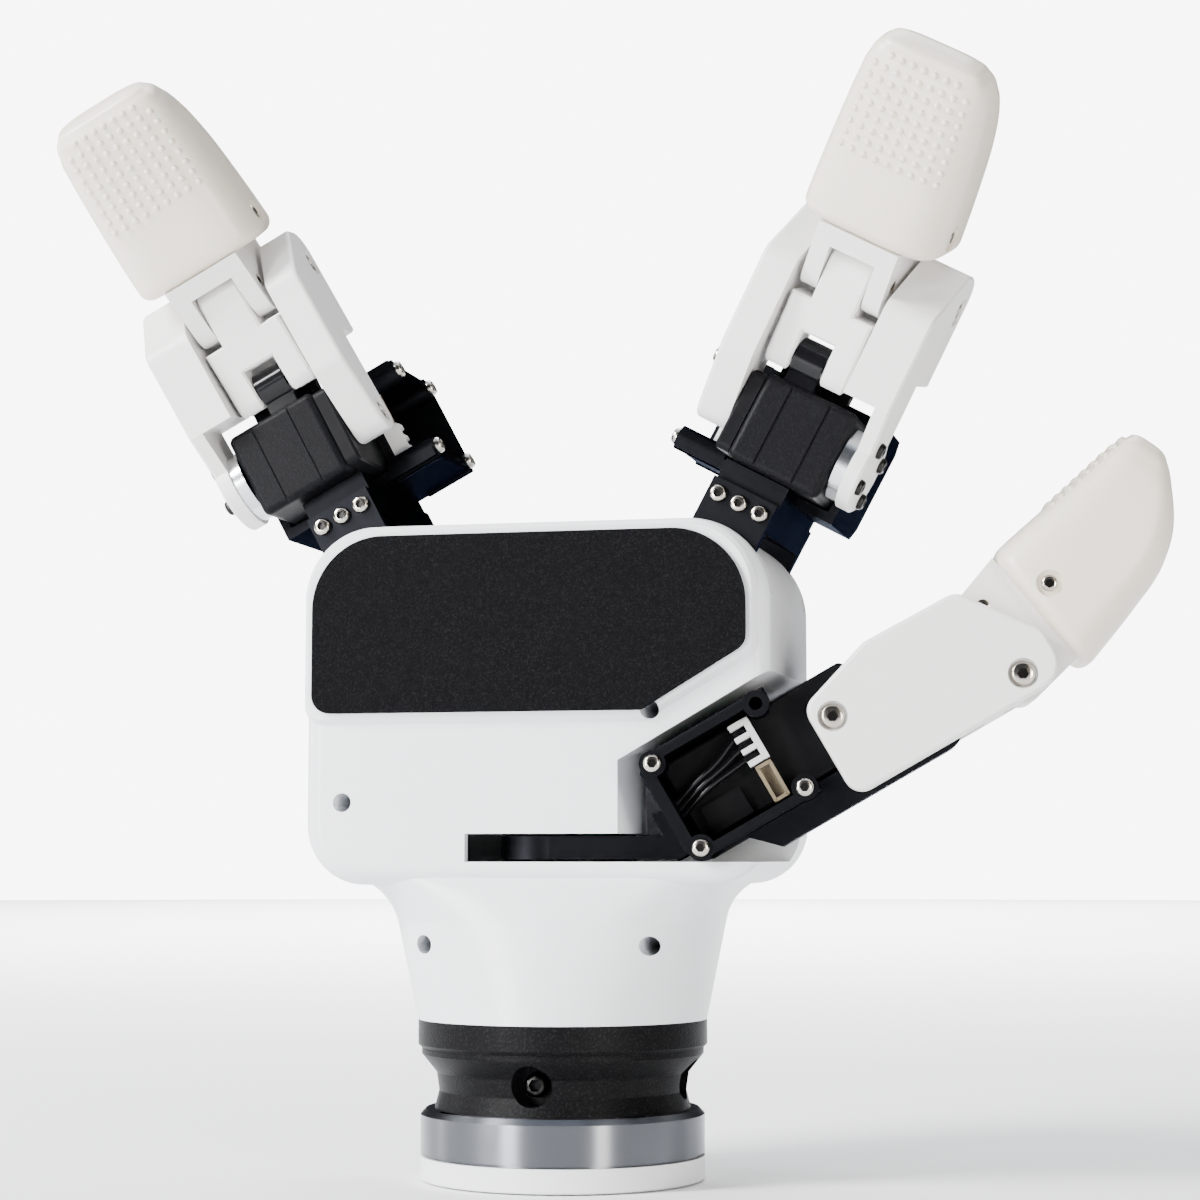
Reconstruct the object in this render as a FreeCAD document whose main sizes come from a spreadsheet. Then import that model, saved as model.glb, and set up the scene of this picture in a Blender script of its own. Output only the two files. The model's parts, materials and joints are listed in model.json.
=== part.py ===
import FreeCAD, Part
import math
import os
import re

import Sketcher

# A three-digit robotic hand on a round tool flange, in millimetres.
# +Z points from the flange to the fingertips, -Y is the palm side, +X the thumb side.
# The origin is the centre of the flange's mounting face.

SIZES = {
    # Wrist: white base ring, turned flange, clamped neck and collar
    "flange_diameter": 63.0,
    "base_ring_height": 5.2,
    "centring_bore": 31.5,
    "bolt_circle": 50.0,
    "bolt_bore": 6.6,
    "bolt_head_bore": 10.4,
    "bolt_head_depth": 6.4,
    "flange_height": 10.2,
    "flange_chamfer": 1.2,
    "flange_groove": 1.0,
    "wrist_bore": 20.0,
    "neck_height": 13.2,
    "neck_foot_radius": 28.4,
    "neck_waist_radius": 27.4,
    "neck_head_radius": 31.3,
    "neck_sweep": 9.0,
    "access_bore": 9.0,
    "clamp_screw_head": 5.4,
    "clamp_screw_seat": 22.0,
    "collar_height": 6.3,
    "collar_radius": 32.1,
    "collar_groove": 0.9,
    # Palm housing
    "palm_half_width": 51.5,
    "palm_half_depth": 28.5,
    "palm_bottom": 64.5,
    "palm_top": 143.0,
    "palm_top_radius": 18.0,
    "palm_bottom_radius": 13.0,
    "palm_edge_round": 4.0,
    "shell_wall": 2.6,
    "wrist_mid_half_width": 35.9,
    "wrist_mid_half_depth": 30.2,
    "wrist_mid_height": 21.7,
    "flare_inset": 6.9,
    # Palm pad and the low plateau under it
    "pad_left": 49.0,
    "pad_right": 47.0,
    "pad_top": 140.2,
    "pad_bottom": 101.6,
    "pad_cut_x": 24.4,
    "pad_cut_z": 115.2,
    "pad_round": 16.0,
    "pad_small_round": 4.0,
    "pad_thickness": 1.3,
    "plateau_margin": 2.2,
    "plateau_height": 1.2,
    # Housing screws, from the palm side into the back shell
    "screw_boss": 8.4,
    "screw_bore": 4.1,
    "screw_shank": 2.8,
    "screw_seat": 4.0,
    "screw_grip": 12.0,
    "screw_head_height": 2.2,
    "upper_screw_x": 26.1,
    "upper_screw_z": 101.8,
    "side_screw_x": 42.6,
    "side_screw_z": 82.3,
    "lower_screw_x": 25.0,
    "lower_screw_z": 51.7,
    # Recess and slot for the thumb
    "thumb_axis_x": -1.0,
    "thumb_axis_y": -17.0,
    "slot_bottom": 69.5,
    "slot_height": 6.0,
    "slot_left": 14.8,
    "recess_wall_x": 16.0,
    "recess_wall_top": 89.4,
    "recess_slope": 30.0,
    "recess_depth": 15.0,
    "thumb_sweep": 23.0,
    # Inner servos, shelf and board
    "servo_length": 34.0,
    "servo_height": 20.0,
    "servo_depth": 39.0,
    "servo_axis_inset": 8.0,
    "servo_boss_radius": 5.0,
    "thumb_servo_bottom": 78.2,
    "thumb_servo_height": 32.0,
    "shelf_half_width": 44.0,
    "shelf_half_depth": 17.0,
    "shelf_thickness": 2.5,
    "leg_x": 10.0,
    "leg_front": 18.2,
    "leg_back": 24.5,
    "board_half_width": 13.0,
    "board_bottom": 74.0,
    "board_height": 34.0,
    "board_thickness": 1.6,
    # Finger layout
    "splay": 28.2,
    "knuckle_reach": 41.6,
    "finger_axis_y": -19.0,
    "centre_offset": 4.0,
    "finger_flexion": 10.0,
    "thumb_reach": 63.8,
    "thumb_axis_height": 100.0,
    "thumb_pitch": 30.0,
    "thumb_yaw": 8.0,
    "tip_ratio": 0.44,
    "link_ratio": 1.66,
    # Knuckle plates and spread pivots
    "plate_width": 15.4,
    "plate_thickness": 3.0,
    "plate_face": 24.0,
    "plate_length": 26.8,
    "pivot_pin": 6.0,
    "swing_slot_side": 1.0,
    "running_clearance": 0.05,
    "slot_clearance": 0.5,
    "spread_inward": 20.0,
    "spread_outward": 22.0,
    # Actuator module
    "case_half_width": 11.0,
    "case_half_height": 10.0,
    "case_near": 8.0,
    "case_far": 37.6,
    "case_round": 1.6,
    "seam_offset": 4.6,
    "seam_width": 0.5,
    "seam_depth": 0.35,
    "cover_thickness": 3.3,
    "cover_inset": 0.6,
    "cover_block_near": 24.5,
    "cover_block_far": 34.0,
    "cover_block_low": 2.6,
    "cover_block_high": 8.8,
    "cover_block_height": 2.0,
    "frame_near": 9.6,
    "frame_far": 41.0,
    "frame_half_height": 12.5,
    "frame_rim": 26.9,
    "frame_horn_face": 13.2,
    "frame_wall": 2.2,
    "frame_end_wall": 2.8,
    "frame_corner": 3.0,
    "frame_gap": 0.3,
    "frame_post": 5.6,
    "frame_screw_near": 12.6,
    "frame_screw_far": 37.6,
    "frame_screw_row": 10.1,
    "frame_post_foot": 15.0,
    "foot_bottom": 21.0,
    "foot_half_width": 7.7,
    "belly_front": 22.0,
    "belly_back": 23.0,
    "belly_depth": 18.2,
    "edge_break": 0.5,
    "small_head": 3.9,
    "small_head_height": 1.5,
    "plate_screw_pitch": 5.0,
    "plate_screw_drop": 3.0,
    "plug_near": 15.6,
    "plug_length": 4.8,
    "plug_offset": 4.3,
    "plug_half_width": 4.9,
    "plug_height": 6.2,
    "wire_diameter": 1.3,
    "wire_pitch": 2.8,
    "wire_bundle_pitch": 1.45,
    "horn_gap": 0.3,
    "horn_thickness": 2.7,
    "horn_radius": 8.2,
    "horn_shaft": 6.0,
    "horn_shaft_length": 4.0,
    # Proximal link
    "horn_arm_thickness": 3.4,
    "horn_arm_radius": 8.9,
    "idler_gap": 0.4,
    "idler_arm_thickness": 7.7,
    "arm_heel": 4.6,
    "arm_shoulder_u": 13.4,
    "arm_shoulder_v": 10.2,
    "arm_crest_u": 35.4,
    "arm_crest_v": 9.6,
    "arm_end_u": 47.0,
    "arm_end_v": -6.5,
    "arm_back_v": -17.2,
    "arm_step_u": 21.0,
    "arm_step_v": -5.2,
    "arm_round": 4.0,
    "arm_big_round": 6.0,
    "arm_gap": 10.5,
    "arm_root_u": 14.5,
    "web_end_u": 32.0,
    "thumb_web_u": 27.4,
    "web_thickness": 3.2,
    "horn_screw_circle": 13.0,
    "horn_screw_turn": 22.0,
    "horn_screw_head": 3.6,
    "horn_screw_height": 1.2,
    "axis_screw": 4.0,
    "axis_screw_head": 6.4,
    "axis_screw_recess": 1.8,
    # Distal link: bracket, pins, coupler and fingertip
    "tip_pivot_u": 38.8,
    "tip_pivot_v": -12.3,
    "tip_bend": 24.0,
    "link_pin_reach": 7.6,
    "link_pin_rise": 15.0,
    "link_length": 23.6,
    "link_half_width": 9.5,
    "link_half_thickness": 4.1,
    "fork_shift": 1.4,
    "link_body_start": 7.6,
    "tongue_start": 14.8,
    "tongue_half_width": 5.0,
    "lug_half_width": 3.45,
    "lug_radius": 4.4,
    "lug_foot": 7.0,
    "hood_rise": 8.4,
    "hood_depth": 2.8,
    "hood_gap": 1.0,
    "lug_gap": 0.35,
    "lug_pin": 2.4,
    "eye_back": 3.2,
    "eye_front": 2.75,
    "eye_side": 1.75,
    "bracket_half_width": 9.25,
    "bracket_slot_half": 5.3,
    "bracket_heel": 5.0,
    "bracket_crest": 20.4,
    "bracket_slot_end": 12.8,
    "bracket_slot_floor": 4.4,
    "tip_base_top": 17.2,
    "tip_base_bottom": 10.0,
    "core_end": 42.0,
    "core_bottom": -3.0,
    "core_top": 11.0,
    "tip_pin": 3.0,
    "tip_length": 57.8,
    "tip_half_width": 16.0,
    "tip_crown": 19.3,
    "tip_back": 11.0,
    "tip_screw_x": 17.5,
    "tip_screw_y": 6.4,
    "tip_screw_head": 4.0,
}

doc = FreeCAD.newDocument("robotic_hand")
sheet = doc.addObject("Spreadsheet::Sheet", "sizes")
for row, (name, value) in enumerate(SIZES.items(), start=1):
    sheet.set(f"A{row}", name)
    sheet.set(f"B{row}", str(value))
    sheet.setAlias(f"B{row}", name)
doc.recompute()

Vector = FreeCAD.Vector
Placement = FreeCAD.Placement
Rotation = FreeCAD.Rotation
Z_AXIS = Vector(0, 0, 1)
parts = {}
ALIAS = {name: "sizes." + name for name in SIZES}


def size(expression):
    """Value of an expression over the sheet's aliases."""
    return float(sheet.evalExpression(str(expression)))


def bound(expression):
    """The expression with every alias written as a reference to the sheet."""
    return re.sub("[a-z_]+", lambda word: ALIAS.get(word.group(), word.group()), str(expression))


def bind(item, prop, expression):
    item.setExpression(prop, bound(expression))


# Sketches and features


def new_body(label):
    body = doc.addObject("PartDesign::Body", label)
    body.Label = label
    return body


def new_sketch(body, role, lift):
    sketch = body.newObject("Sketcher::SketchObject", body.Name + "_sketch")
    plane = next(item for item in body.Origin.OriginFeatures if item.Role == role)
    sketch.AttachmentSupport = (plane, [""])
    sketch.MapMode = "FlatFace"
    bind(sketch, "AttachmentOffset.Base.z", lift)
    return sketch


def fix_point(sketch, geometry, vertex, x, y):
    for kind, value in (("DistanceX", x), ("DistanceY", y)):
        rule = sketch.addConstraint(
            Sketcher.Constraint(kind, -1, 1, geometry, vertex, size(value)))
        bind(sketch, f"Constraints[{rule}]", value)


def draw_outline(sketch, corners):
    """Closed run of straight lines through corners given as sheet expressions."""
    points = [Vector(size(corner[0]), size(corner[1]), 0) for corner in corners]
    count = len(points)
    for i in range(count):
        sketch.addGeometry(Part.LineSegment(points[i], points[(i + 1) % count]), False)
    for i in range(count):
        sketch.addConstraint(Sketcher.Constraint("Coincident", i, 2, (i + 1) % count, 1))
    for i, corner in enumerate(corners):
        fix_point(sketch, i, 1, corner[0], corner[1])


def draw_circle(sketch, x, y, diameter):
    circle = Part.Circle(Vector(size(x), size(y), 0), Z_AXIS, size(diameter) / 2)
    geometry = sketch.addGeometry(circle, False)
    rule = sketch.addConstraint(Sketcher.Constraint("Diameter", geometry, size(diameter)))
    bind(sketch, f"Constraints[{rule}]", diameter)
    fix_point(sketch, geometry, 3, x, y)


def add_feature(body, kind, sketch, length):
    before = body.Shape.Volume if kind == "Pocket" else 0
    feature = body.newObject("PartDesign::" + kind, body.Name + "_" + kind.lower())
    feature.Profile = sketch
    bind(feature, "Length", length)
    doc.recompute()
    if kind == "Pocket" and not body.Shape.Volume < before:
        raise RuntimeError(body.Label + ": a pocket cuts nothing")
    return feature


def round_edges(body, radius, chosen, kind="Fillet"):
    """Fillet or chamfer the tip's edges that the test picks."""
    base = body.Tip
    names = [f"Edge{i}" for i, edge in enumerate(base.Shape.Edges, start=1) if chosen(edge)]
    if not names:
        raise RuntimeError(body.Label + ": no edge to round")
    feature = body.newObject("PartDesign::" + kind, body.Name + "_" + kind.lower())
    feature.Base = (base, names)
    bind(feature, "Radius" if kind == "Fillet" else "Size", radius)
    doc.recompute()


def stands_at(x, y, low, high, axes):
    """Test for a straight edge along the pad, over one corner of its outline."""
    first, second, along, sign = axes

    def test(edge):
        if edge.Curve.TypeId != "Part::GeomLine":
            return False
        for vertex in edge.Vertexes:
            place = (vertex.X, vertex.Y, vertex.Z)
            if abs(place[first] - x) > 1e-4 or abs(place[second] - y) > 1e-4:
                return False
            if not low - 1e-4 <= sign * place[along] <= high + 1e-4:
                return False
        return edge.Length > 1e-3

    return test


def flat_at(axis, level):
    """Test for an edge that lies in the plane at a level along one axis."""
    value = size(level)

    def test(edge):
        return all(abs(place - value) < 1e-4 for place in (
            getattr(edge.BoundBox, axis + "Min"), getattr(edge.BoundBox, axis + "Max")))

    return test


PLANES = {
    "XY_Plane": (0, 1, 2, 1),
    "XZ_Plane": (0, 2, 1, -1),
    "YZ_Plane": (1, 2, 0, 1),
}


def prism(body, corners, low, high, plane="XY_Plane", cut=False):
    """Pad or pocket an outline between two heights over a plane.

    A corner is (x, y) or (x, y, radius); corners with a radius are filleted.
    Heights run along the plane's normal, which is -Y for the XZ plane.
    """
    sketch = new_sketch(body, plane, high if cut else low)
    draw_outline(sketch, corners)
    add_feature(body, "Pocket" if cut else "Pad", sketch, f"({high}) - ({low})")
    radii = {}
    for corner in corners:
        if len(corner) == 3:
            radii.setdefault(corner[2], []).append(
                stands_at(size(corner[0]), size(corner[1]), size(low), size(high), PLANES[plane]))
    for radius, tests in radii.items():
        round_edges(body, radius, lambda edge, tests=tests: any(test(edge) for test in tests))
    return body


def discs(body, circles, low, high, plane="XY_Plane", cut=False):
    """Pad or pocket round outlines, given as (x, y, diameter), between two heights."""
    sketch = new_sketch(body, plane, high if cut else low)
    for x, y, diameter in circles:
        draw_circle(sketch, x, y, diameter)
    add_feature(body, "Pocket" if cut else "Pad", sketch, f"({high}) - ({low})")
    return body


def revolved(label, outline):
    """Body turned about Z from an outline of (radius, height) corners."""
    body = new_body(label)
    sketch = new_sketch(body, "XZ_Plane", "0")
    draw_outline(sketch, outline)
    turn = body.newObject("PartDesign::Revolution", label + "_turn")
    turn.Profile = sketch
    turn.ReferenceAxis = (sketch, ["V_Axis"])
    turn.Angle = 360
    doc.recompute()
    return body


def keep(label, item, placement=None):
    """Make an object one of the hand's pieces, under its own name."""
    item.Label = label
    if placement is not None:
        item.Placement = placement
    parts[label] = item
    return item


def cylinder(name, radius, height, placement):
    """Plain round solid, its sizes bound to the sheet."""
    item = doc.addObject("Part::Cylinder", name)
    bind(item, "Radius", radius)
    bind(item, "Height", height)
    item.Placement = placement
    return item


def joined(name, items):
    fuse = doc.addObject("Part::MultiFuse", name)
    fuse.Shapes = items
    return fuse


def group(name, items):
    """Separate solids kept together, such as a set of screws."""
    compound = doc.addObject("Part::Compound", name)
    compound.Links = items
    return compound


def cut_from(name, base, tool):
    item = doc.addObject("Part::Cut", name)
    item.Base = base
    item.Tool = tool
    return item


def overlap(name, base, tool):
    item = doc.addObject("Part::Common", name)
    item.Base = base
    item.Tool = tool
    return item


def facing(point, direction):
    """Placement that stands Z along a direction at a point."""
    return Placement(point, Rotation(Z_AXIS, direction))


def button_screw(name, seat, outward, head, head_height, shank, grip):
    """Screw with a domed head on its seat and a shank that goes in against outward."""
    body = cylinder(name + "_head", f"({head}) / 2", head_height, facing(seat, outward))
    stem = cylinder(name + "_shank", f"{shank} / 2", grip,
                    facing(seat - outward * size(grip), outward))
    return joined(name, [body, stem])


# Wrist

COLLAR_FOOT = "base_ring_height + flange_height + neck_height"
COLLAR_TOP = COLLAR_FOOT + " + collar_height"
FLANGE_TOP = "base_ring_height + flange_height"


def circle_holes(body, circle, diameter, low, high, turn=0):
    """Four holes evenly spaced on a circle."""
    spots = []
    for quarter in range(4):
        angle = 90 * quarter + turn
        spots.append((f"{circle} / 2 * cos({angle})", f"{circle} / 2 * sin({angle})", diameter))
    discs(body, spots, low, high, cut=True)


def make_base_ring():
    ring = revolved("base_ring", [
        ("centring_bore / 2", "0"), ("flange_diameter / 2", "0"),
        ("flange_diameter / 2", "base_ring_height"), ("centring_bore / 2", "base_ring_height")])
    round_edges(ring, "flange_chamfer / 2", lambda edge: edge.BoundBox.ZMax < 0.01
                and edge.BoundBox.XMax > size("flange_diameter / 2") - 0.01)
    circle_holes(ring, "bolt_circle", "bolt_bore", "0", "base_ring_height", 45)
    keep("base_ring", ring)


def make_flange_ring():
    ring = revolved("flange_ring", [
        ("wrist_bore / 2", "base_ring_height"), ("flange_diameter / 2 - flange_groove", "base_ring_height"),
        ("flange_diameter / 2 - flange_groove", "base_ring_height + flange_groove * 0.7"),
        ("flange_diameter / 2", "base_ring_height + flange_groove * 0.7"),
        ("flange_diameter / 2", FLANGE_TOP + " - flange_chamfer"),
        ("flange_diameter / 2 - flange_chamfer", FLANGE_TOP),
        ("wrist_bore / 2", FLANGE_TOP)])
    circle_holes(ring, "bolt_circle", "bolt_bore", "base_ring_height", FLANGE_TOP, 45)
    circle_holes(ring, "bolt_circle", "bolt_head_bore", FLANGE_TOP + " - bolt_head_depth", FLANGE_TOP, 45)
    keep("flange_ring", ring)


ACCESS_HEIGHT = FLANGE_TOP + " + neck_height / 2"


def make_neck_coupling():
    """Waisted neck with four radial access bores for its clamp screws."""
    neck = revolved("neck_coupling", [
        ("wrist_bore / 2", FLANGE_TOP), ("neck_foot_radius", FLANGE_TOP),
        ("neck_waist_radius", FLANGE_TOP + " + neck_height * 0.3", "neck_sweep"),
        ("neck_waist_radius + 0.6", FLANGE_TOP + " + neck_height * 0.6", "neck_sweep"),
        ("neck_head_radius", COLLAR_FOOT + " - 1.2"),
        ("neck_head_radius", COLLAR_FOOT), ("wrist_bore / 2", COLLAR_FOOT)])
    for plane in ("XZ_Plane", "YZ_Plane"):
        for low, high in (("clamp_screw_seat", "collar_radius"), ("- collar_radius", "- clamp_screw_seat")):
            discs(neck, [("0", ACCESS_HEIGHT, "access_bore")], low, high, plane, cut=True)
    keep("neck_coupling", neck)


def make_clamp_screws():
    screws = []
    for quarter in range(4):
        outward = Vector(math.cos(quarter * math.pi / 2), math.sin(quarter * math.pi / 2), 0)
        seat = outward * size("clamp_screw_seat") + Z_AXIS * size(ACCESS_HEIGHT)
        screws.append(cylinder(f"clamp_screw_{quarter}", "clamp_screw_head / 2", "clamp_screw_head / 2",
                               facing(seat, outward)))
    keep("clamp_screws", group("clamp_screws", screws))


def make_wrist_collar():
    collar = revolved("wrist_collar", [
        ("wrist_bore / 2", COLLAR_FOOT), ("collar_radius - collar_groove", COLLAR_FOOT),
        ("collar_radius", COLLAR_FOOT + " + collar_groove"),
        ("collar_radius", COLLAR_TOP), ("wrist_bore / 2", COLLAR_TOP)])
    keep("wrist_collar", collar)


# Palm housing

SPREAD_X = "palm_half_width - palm_top_radius"
SPREAD_Z = "palm_top - palm_top_radius"
FAR = "palm_half_width * 2"
FRONT = "palm_half_depth * 2"
SCREW_SPOTS = [("upper_screw_x", "upper_screw_z"), ("- side_screw_x", "side_screw_z"),
               ("- lower_screw_x", "lower_screw_z"), ("lower_screw_x", "lower_screw_z")]


def block_outline(inset):
    side = f"palm_half_width - {inset}"
    low = f"palm_bottom + {inset}"
    high = f"palm_top - {inset}"
    top_round = f"palm_top_radius - {inset}"
    low_round = f"palm_bottom_radius - {inset}"
    return [(f"- ({side})", low, low_round), (side, low, low_round),
            (side, high, top_round), (f"- ({side})", high, top_round)]


def palm_block(name, inset):
    """Flat-faced box of the palm with large corner rounds and softened face edges."""
    body = new_body(name)
    reach = f"palm_half_depth - {inset}"
    prism(body, block_outline(inset), f"- ({reach})", reach, "XZ_Plane")
    flat = size(reach)
    round_edges(body, f"palm_edge_round - {inset}",
                lambda edge: abs(abs(edge.BoundBox.YMin) - flat) < 1e-3 and edge.BoundBox.YLength < 1e-3)
    return body


def superellipse(half_width, half_depth, power, height):
    """Closed curve |x/a|^n + |y/b|^n = 1 at one height."""
    points = []
    for step in range(24):
        angle = 2 * math.pi * (step + 0.5) / 24
        c = math.cos(angle)
        s = math.sin(angle)
        x = half_width * math.copysign(abs(c) ** (2 / power), c)
        y = half_depth * math.copysign(abs(s) ** (2 / power), s)
        points.append(Vector(x, y, height))
    curve = Part.BSplineCurve()
    curve.interpolate(points, PeriodicFlag=True)
    return Part.Wire([curve.toShape()])


def wrist_flare(name, inset, lift):
    """Lower housing: a straight taper from the collar, then a hollow flare to the underside."""
    foot = size(COLLAR_TOP)
    mid = foot + size("wrist_mid_height")
    top = size("palm_bottom") + size("palm_edge_round") * 0.4
    radius = size("collar_radius")
    width = size("wrist_mid_half_width")
    depth = size("wrist_mid_half_depth")
    widen = size("palm_half_width - flare_inset") - width
    deepen = size("palm_half_depth") - 0.6 - depth
    taper = [superellipse(radius - inset, radius - inset, 2.0, foot + lift),
             superellipse(width - inset, depth - inset, 2.7, mid)]
    flare = []
    for step in range(6):
        share = step / 5
        angle = math.radians(80) * share
        out = (1 - math.cos(angle)) / (1 - math.cos(math.radians(80)))
        rise = math.sin(angle) / math.sin(math.radians(80))
        flare.append(superellipse(width + widen * out - inset, depth + deepen * share - inset,
                                  2.7 + 2.3 * share, mid + (top + lift - mid) * rise))
    lower = doc.addObject("Part::Feature", name + "_taper")
    lower.Shape = Part.makeLoft(taper, True, True)
    upper = doc.addObject("Part::Feature", name + "_flare")
    upper.Shape = Part.makeLoft(flare, True, False)
    return joined(name, [lower, upper])


def pad_outline(margin):
    """The pad's outline on the palm, grown by a margin."""
    left = f"- (pad_left + {margin})"
    right = f"pad_right + {margin}"
    low = f"pad_bottom - {margin}"
    high = f"pad_top + {margin}"
    return [(left, low, "pad_small_round"), (f"pad_cut_x + {margin} * 0.3", low),
            (right, f"pad_cut_z - {margin} * 0.6", "pad_small_round"),
            (right, high, "pad_round"), (left, high, "pad_round")]


def recess_outline(margin):
    wall = f"recess_wall_x - {margin}"
    low = f"slot_bottom - {margin}"
    corner = f"recess_wall_top + {margin}"
    rise = f"({FAR} - ({wall})) * tan(recess_slope)"
    return [(wall, low), (FAR, low), (FAR, f"{corner} + {rise}"), (wall, corner)]


def make_palm():
    outer_block = palm_block("palm_outer_block", "0")
    outer_flare = wrist_flare("palm_outer_flare", 0, 0)
    plateau = new_body("pad_plateau")
    prism(plateau, pad_outline("plateau_margin"), "palm_half_depth - shell_wall / 2",
          "palm_half_depth + plateau_height", "XZ_Plane")
    front = -size("palm_half_depth + plateau_height")
    round_edges(plateau, "plateau_height * 0.8", lambda edge: abs(edge.BoundBox.YMin - front) < 1e-3
                and edge.BoundBox.YLength < 1e-3, "Chamfer")
    outer = joined("palm_outer", [outer_block, outer_flare, plateau])

    inner_block = palm_block("palm_inner_block", "shell_wall")
    inner_flare = wrist_flare("palm_inner_flare", size("shell_wall"), size("shell_wall"))
    hollow = joined("palm_hollow", [inner_block, inner_flare])

    walls = new_body("recess_walls")
    prism(walls, recess_outline("shell_wall"), "- (recess_depth + shell_wall)", FRONT, "XZ_Plane")
    discs(walls, [("thumb_axis_x", "thumb_axis_y", "(thumb_sweep - shell_wall) * 2")],
          "slot_bottom - shell_wall", "palm_top", cut=True)
    deck = new_body("thumb_deck")
    prism(deck, [("- slot_left - shell_wall", "slot_bottom - shell_wall"), (FAR, "slot_bottom - shell_wall"),
                 (FAR, "slot_bottom"), ("- slot_left - shell_wall", "slot_bottom")],
          "- (recess_depth + shell_wall)", FRONT, "XZ_Plane")
    bosses = []
    for x, z in SCREW_SPOTS:
        boss = cylinder("screw_boss", "screw_boss / 2", f"{FRONT} * 2",
                        facing(Vector(size(x), -size(FRONT), size(z)), Vector(0, 1, 0)))
        bosses.append(boss)
    solid_inside = joined("palm_solid_inside", [walls, deck] + bosses)
    hollow_cut = cut_from("palm_hollow_cut", hollow, solid_inside)

    recess = new_body("thumb_recess")
    prism(recess, recess_outline("0"), "- recess_depth", FRONT, "XZ_Plane")
    discs(recess, [("thumb_axis_x", "thumb_axis_y", "thumb_sweep * 2")], "slot_bottom", "palm_top", cut=True)
    slot = new_body("thumb_slot")
    prism(slot, [("- slot_left", "slot_bottom"), (FAR, "slot_bottom"),
                 (FAR, "slot_bottom + slot_height"), ("- slot_left", "slot_bottom + slot_height")],
          "- recess_depth", FRONT, "XZ_Plane")
    openings = [recess, slot]
    for side in (-1, 1):
        openings += plate_slots(side)
    for i, (x, z) in enumerate(SCREW_SPOTS):
        mouth = Vector(size(x), -size(FRONT), size(z))
        openings.append(cylinder(f"screw_mouth_{i}", "screw_bore / 2", f"{FRONT} - screw_seat",
                                 facing(mouth, Vector(0, 1, 0))))
        openings.append(cylinder(f"screw_hole_{i}", "screw_shank / 2 + running_clearance",
                                 f"{FRONT} - screw_seat + screw_grip + slot_clearance",
                                 facing(mouth, Vector(0, 1, 0))))
    shell = cut_from("palm_shell_solid", outer, joined("palm_cuts", [hollow_cut] + openings))

    half = doc.addObject("Part::Box", "front_half")
    for prop in ("Length", "Width", "Height"):
        bind(half, prop, "palm_top * 2")
    half.Placement.Base = Vector(-size("palm_top"), -2 * size("palm_top"), 0)
    keep("palm_front_shell", overlap("palm_front_shell", shell, half))
    keep("palm_back_shell", cut_from("palm_back_shell", shell, half))

    pad = new_body("palm_pad")
    prism(pad, pad_outline("0"), "palm_half_depth + plateau_height",
          "palm_half_depth + plateau_height + pad_thickness", "XZ_Plane")
    keep("palm_pad", pad)

    screws = []
    for i, (x, z) in enumerate(SCREW_SPOTS):
        seat = Vector(size(x), -size("screw_seat"), size(z))
        screws.append(button_screw(f"shell_screw_{i}", seat, Vector(0, -1, 0), "screw_bore - running_clearance * 2",
                                   "screw_head_height", "screw_shank", "screw_grip"))
    keep("shell_screws", group("shell_screws", screws))


def plate_slots(side):
    """Curved openings in a palm corner that let the knuckle plates swing."""
    half = "(plate_width / 2 + swing_slot_side)"
    # A plate's edges cross the corner's inner wall at this distance along the plate
    reach = f"sqrt((palm_top_radius - shell_wall)^2 - {half}^2)"
    items = []
    for sign in (-1, 1):
        body = new_body("plate_slot")
        if sign < 0:
            low = "plate_face - plate_thickness - slot_clearance"
            high = "plate_face + slot_clearance"
        else:
            low = "- plate_face - slot_clearance"
            high = "- plate_face + plate_thickness + slot_clearance"
        inward = f"({half} * cos(splay - spread_inward) - {reach} * sin(splay - spread_inward))"
        outward = f"({half} * sin(splay + spread_outward) - {reach} * cos(splay + spread_outward))"
        x_near = f"{side} * ({SPREAD_X} - {inward})"
        z_near = f"{SPREAD_Z} - {outward}"
        x_far = f"{side} * {FAR}"
        z_far = "palm_top * 1.2"
        corners = [(x_near, z_near), (x_far, z_near), (x_far, z_far), (x_near, z_far)]
        if side < 0:
            corners.reverse()
        prism(body, corners, low, high, "XZ_Plane")
        items.append(body)
    return items


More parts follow.
